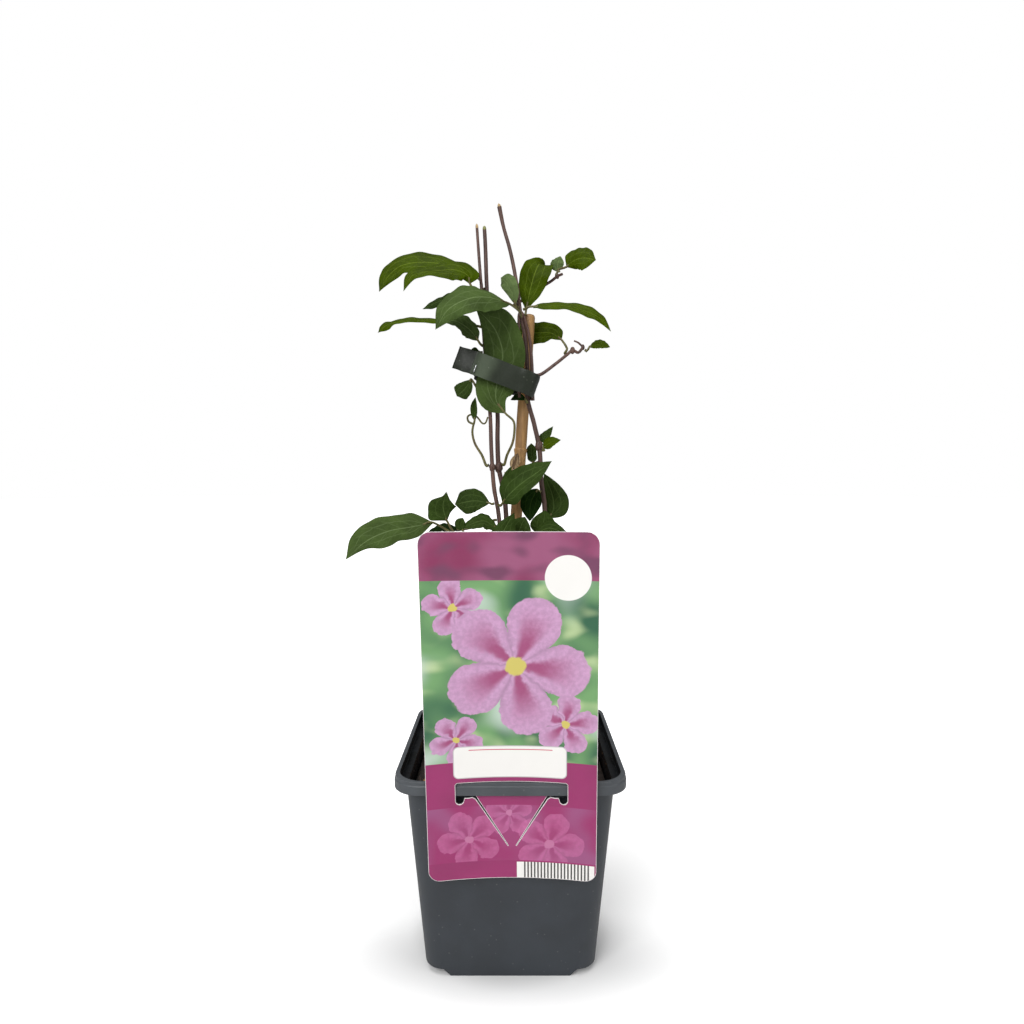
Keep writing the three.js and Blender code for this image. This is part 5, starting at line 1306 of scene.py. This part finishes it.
def build_staple():
    """A wire staple: a crown in front of the tape and two legs through it."""
    bm = bmesh.new()
    back, front, high = -8.0, -11.55, STAPLE_HALF
    turns = [(back, high), (front + 0.5, high), (front, high - 0.45), (front, 0), (front, 0.45 - high),
             (front + 0.5, -high), (back, -high)]
    points = [STAPLE_PLACE + Vector((0, y, z)) for y, z in turns]
    tube(bm, Route(points), lambda share: STAPLE_WIRE / 2, 10, 0.25)
    bmesh.ops.transform(bm, matrix=on_tie(), verts=bm.verts)
    settle(bm, "wire_staple", ["bright_wire"], "staple")


def card_y(x, height):
    """How far forward the card's middle surface is."""
    lean = CARD_FRONT_AT_RIM - CARD_LEAN * (height - RIM_TOP)
    cup = CARD_CUP * (1 - CARD_CUP_LOSS * abs(height - RIM_TOP))
    return lean + cup * (1 - (x / CARD_HALF) ** 2)


def tongue_edge(height):
    """Half the width of the flap's opening at a height."""
    share = (height - TONGUE_NECK) / (SLOT_SHOULDER - TONGUE_NECK)
    return TONGUE_NECK_HALF + (TONGUE_HALF - TONGUE_NECK_HALF) * share


def loop_of(bm, points):
    """A closed outline through points in x and height: returns its edges."""
    verts = [bm.verts.new((x, 0, z)) for x, z in points]
    return [bm.edges.new(pair) for pair in zip(verts, verts[1:] + verts[:1])]


def arc(x, z, radius, start, end, steps=8):
    """Points on an arc, its angles in quarter turns."""
    angles = [(start + (end - start) * step / steps) * math.pi / 2 for step in range(steps + 1)]
    return [(x + radius * math.cos(angle), z + radius * math.sin(angle)) for angle in angles]


def half_slot():
    """The slot's outline right of the middle line: down to the flap's cut, then up round the flap."""
    lobe = SLOT_LOBE / 2
    shoulder = TONGUE_HALF + 1.2
    rounded = [(SLOT_HALF - 0.6, SLOT_TOP), (SLOT_HALF, SLOT_TOP - 0.6), (SLOT_HALF, SLOT_FOOT + lobe)]
    rounded += arc(SLOT_HALF - lobe, SLOT_FOOT + lobe, lobe, 0, -2)[1:]
    rounded += [(SLOT_HALF - 2 * lobe - 0.3, SLOT_FOOT + lobe + 0.9), (shoulder + 1.4, SLOT_SHOULDER - 0.25),
                (shoulder, SLOT_SHOULDER), (TONGUE_HALF, SLOT_SHOULDER - 0.8),
                (TONGUE_NECK_HALF, TONGUE_NECK)]
    flap = TONGUE_HALF - 0.05
    return rounded + [(TONGUE_NECK_HALF - TONGUE_SLIT, TONGUE_NECK + 0.1), (flap, LIP_BOTTOM - SEAT_GAP)]


def build_card():
    """The label card: cupped and leaning, hooked on the rim by its slot, its flap pressed under the lip."""
    bm = bmesh.new()
    side, radius = CARD_HALF - CARD_CORNER, CARD_CORNER
    outline = arc(side, CARD_TOP - radius, radius, 0, 1) + arc(-side, CARD_TOP - radius, radius, 1, 2)
    outline += arc(-side, CARD_BOTTOM + radius, radius, 2, 3) + arc(side, CARD_BOTTOM + radius, radius, 3, 4)
    right = half_slot()
    slot = right + [(-x, z) for x, z in reversed(right)]
    edges = loop_of(bm, outline) + loop_of(bm, slot)
    bmesh.ops.triangle_fill(bm, edges=edges, use_beauty=True, use_dissolve=False, normal=(0, -1, 0))
    cuts = [((x, 0, 0), (1, 0, 0)) for x in range(-30, 31, 2)]
    cuts += [((0, 0, z), (0, 0, 1)) for z in range(48, 176, 4)]
    for place, normal in cuts:
        everything = bm.verts[:] + bm.edges[:] + bm.faces[:]
        bmesh.ops.bisect_plane(bm, geom=everything, dist=1e-4, plane_co=place, plane_no=normal)
    rim = bmesh.ops.inset_region(bm, faces=bm.faces[:], thickness=CARD_MARGIN, use_boundary=True)["faces"]
    for face in rim:
        face.material_index = 1
    drop = TONGUE_TOP_Y - card_y(0, LIP_BOTTOM)
    for vert in bm.verts:
        x, height = vert.co.x, vert.co.z
        on_flap = height < LIP_BOTTOM and abs(x) < tongue_edge(height) - TONGUE_SLIT * 0.5
        free = min(1, max(0, (height - TONGUE_NECK) / (LIP_BOTTOM - TONGUE_NECK))) if on_flap else 0
        aside = x * (1 + CARD_SPREAD * (height - CARD_BOTTOM)) - CARD_STRAY * (height - CARD_BOTTOM)
        vert.co = (CARD_X + aside, card_y(x, height) + drop * free, height)
    wall = bmesh.ops.extrude_face_region(bm, geom=bm.faces[:])["geom"]
    backs = only(bmesh.types.BMVert, wall)
    bmesh.ops.translate(bm, vec=(0, CARD_THICK, 0), verts=backs)
    bmesh.ops.translate(bm, vec=(0, -CARD_THICK / 2, 0), verts=bm.verts)
    behind = set(backs)
    for face in bm.faces:
        count = sum(vert in behind for vert in face.verts)
        if count:
            face.material_index = 2 if count == len(face.verts) else 1
    settle(bm, "hang_card", ["card_print", "card_edge", "card_back"], "label_card")


# ---- stage ---------------------------------------------------------------------------------------

CAMERA_PLACE = (0.0006, -0.308, 0.198)
CAMERA_TILT = math.radians(90 - 3.16)
LENS = 25.43
SENSOR = 36
FLOOR_RADIUS = 6  # in metres, as the camera and the lights are
# Soft lights, all aimed at one place: name, place, width and power.
LIGHTS = [
    ("key_light", (-0.45, -0.95, 0.85), 0.7, 10.5),
    ("fill_light", (0.9, -0.6, 0.55), 0.7, 2.4),
    ("top_light", (-0.1, -0.2, 1.25), 0.9, 8.0),
]
AIM = Vector((0, 0, 0.15))
SURROUND = (0.3, 1.0)  # how bright the surround is as a light, and as it is seen
# The floor's own light: over which distances from the pot it grows, from what, to what.
FLOOR_GLOWS = [((16, 100), 0.05, 0.42), ((100, 700), 0.0, 0.7)]
FLOOR_FRONT = 24  # the shade's middle lies this far in front of the pot's
FLOOR_DEPTH = 2.6  # how many times wider than deep the shade is
FLOOR_CONTACT = (32, 45)  # from the pot's middle, over which distances its contact shade ends


def build_stage():
    """A pale floor that glows for the camera, with a painted shade round the pot; a white surround, three
    soft lights and the camera.
    """
    scene = bpy.context.scene
    bm = bmesh.new()
    bmesh.ops.create_circle(bm, cap_ends=True, segments=96, radius=FLOOR_RADIUS)
    mesh = bpy.data.meshes.new("floor")
    bm.to_mesh(mesh)
    bm.free()
    material, tree, shader = surface("studio_floor", 0.75)
    place = tree.millimetres()
    shader.inputs["Specular IOR Level"].default_value = 0.1
    shader.inputs["Emission Color"].default_value = (1, 1, 1, 1)
    shifted = tree.node("VectorMath", {0: place, 1: (0, FLOOR_FRONT, 0)}, operation="ADD").outputs[0]
    away = tree.length(tree.stretched(shifted, 1.0, FLOOR_DEPTH, 0.0))
    foot = tree.length(tree.stretched(place, 1.0, 1.0, 0.0))
    beyond_contact_shade = tree.ramp(foot, *FLOOR_CONTACT)
    pale = tree.mix(tree.noise(place, 0.01, 2.0), paint(218, 218, 218), paint(222, 222, 222))
    # Painted contact shadow: the floor's colour darker close round the pot's foot.
    tree.feed(shader.inputs["Base Color"], tree.mix(beyond_contact_shade, paint(202, 202, 202), pale))
    # The floor glows for the camera alone, less near the pot: painted light that whitens it, and a painted
    # shade round the pot.
    glows = [tree.span(tree.ramp(away, *reach), low, high) for reach, low, high in FLOOR_GLOWS]
    glow = tree.math("MULTIPLY", tree.math("ADD", *glows), tree.seen())
    tree.feed(shader.inputs["Emission Strength"], tree.math("MULTIPLY", glow, tree.span(beyond_contact_shade, 0.6, 1.0)))
    mesh.materials.append(material)
    floor = bpy.data.objects.new("floor", mesh)
    scene.collection.objects.link(floor)

    world = bpy.data.worlds.new("white_surround")
    world.use_nodes = True
    background = world.node_tree.nodes["Background"]
    background.inputs["Color"].default_value = (1, 1, 1, 1)
    tree = Tree(world.node_tree)
    tree.feed(background.inputs["Strength"], tree.span(tree.seen(), *SURROUND))
    scene.world = world
    for name, place, width, power in LIGHTS:
        light = bpy.data.lights.new(name, "AREA")
        light.shape = "DISK"
        light.size = width
        light.energy = power
        lamp = bpy.data.objects.new(name, light)
        lamp.location = place
        lamp.rotation_euler = (AIM - Vector(place)).to_track_quat("-Z", "Y").to_euler()
        scene.collection.objects.link(lamp)
    scene.view_settings.view_transform = "Standard"

    lens = bpy.data.cameras.new("camera")
    lens.lens = LENS
    lens.sensor_width = SENSOR
    lens.clip_start = 0.01
    camera = bpy.data.objects.new("camera", lens)
    camera.location = CAMERA_PLACE
    camera.rotation_euler = (CAMERA_TILT, 0, 0)
    scene.collection.objects.link(camera)
    scene.camera = camera


# ---- operators and panel -------------------------------------------------------------------------

class Builder:
    """What every operator here shares."""

    bl_options = {"REGISTER", "UNDO"}

    def execute(self, context):
        self.build(context.scene.plant_sizes)
        return {"FINISHED"}


class PLANT_OT_materials(Builder, bpy.types.Operator):
    """Make the shared effects and every finish"""

    bl_idname = "plant.materials"
    bl_label = "Finishes"

    def build(self, sizes):
        make_effects()
        MATERIALS.update(make_materials())


class PLANT_OT_pot(Builder, bpy.types.Operator):
    """Build the square nursery pot"""

    bl_idname = "plant.pot"
    bl_label = "Pot"

    def build(self, sizes):
        build_pot(sizes)


class PLANT_OT_soil(Builder, bpy.types.Operator):
    """Fill the pot with compost, bark chips and fibres"""

    bl_idname = "plant.soil"
    bl_label = "Soil"

    def build(self, sizes):
        build_soil(sizes)


class PLANT_OT_cane(Builder, bpy.types.Operator):
    """Stand the bamboo cane in the soil"""

    bl_idname = "plant.cane"
    bl_label = "Cane"

    def build(self, sizes):
        build_cane()


class PLANT_OT_stems(Builder, bpy.types.Operator):
    """Grow the main stems and the side stems"""

    bl_idname = "plant.stems"
    bl_label = "Stems"

    def build(self, sizes):
        for name in STEMS:
            build_stem(name, sizes)
        for name in SIDE_STEMS:
            build_side_stem(name)


class PLANT_OT_leaves(Builder, bpy.types.Operator):
    """Grow every leaf with its stalk"""

    bl_idname = "plant.leaves"
    bl_label = "Leaves"

    def build(self, sizes):
        for name in LEAVES:
            build_leaf(name, sizes)


class PLANT_OT_binding(Builder, bpy.types.Operator):
    """Tie the plant to its cane with stapled tape"""

    bl_idname = "plant.binding"
    bl_label = "Tie and staple"

    def build(self, sizes):
        build_tie(sizes)
        build_staple()


class PLANT_OT_card(Builder, bpy.types.Operator):
    """Hang the label card on the rim"""

    bl_idname = "plant.card"
    bl_label = "Label card"

    def build(self, sizes):
        build_card()


class PLANT_OT_stage(Builder, bpy.types.Operator):
    """Set the floor, the lights and the camera"""

    bl_idname = "plant.stage"
    bl_label = "Stage"

    def build(self, sizes):
        build_stage()


STEPS = (PLANT_OT_materials, PLANT_OT_pot, PLANT_OT_soil, PLANT_OT_cane, PLANT_OT_stems, PLANT_OT_leaves,
         PLANT_OT_binding, PLANT_OT_card, PLANT_OT_stage)


class PLANT_PT_panel(bpy.types.Panel):
    """Lists the plant's sizes, colours and building steps"""

    bl_idname = "PLANT_PT_panel"
    bl_label = "Potted clematis plant"
    bl_space_type = "VIEW_3D"
    bl_region_type = "UI"
    bl_category = "Plant"

    def draw(self, context):
        for group in (context.scene.plant_sizes, context.scene.plant_colours):
            box = self.layout.box()
            for name in group.bl_rna.properties.keys()[2:]:
                box.prop(group, name)
        for step in STEPS:
            self.layout.operator(step.bl_idname)


CLASSES = (PlantSizes, PlantColours, *STEPS, PLANT_PT_panel)


def register():
    for kind in CLASSES:
        bpy.utils.register_class(kind)
    bpy.types.Scene.plant_sizes = PointerProperty(type=PlantSizes)
    bpy.types.Scene.plant_colours = PointerProperty(type=PlantColours)


def unregister():
    del bpy.types.Scene.plant_colours
    del bpy.types.Scene.plant_sizes
    for kind in reversed(CLASSES):
        bpy.utils.unregister_class(kind)


def main():
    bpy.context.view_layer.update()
    register()
    for step in STEPS:
        area, name = step.bl_idname.split(".")
        getattr(getattr(bpy.ops, area), name)()
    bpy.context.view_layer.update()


if __name__ == "__main__":
    main()
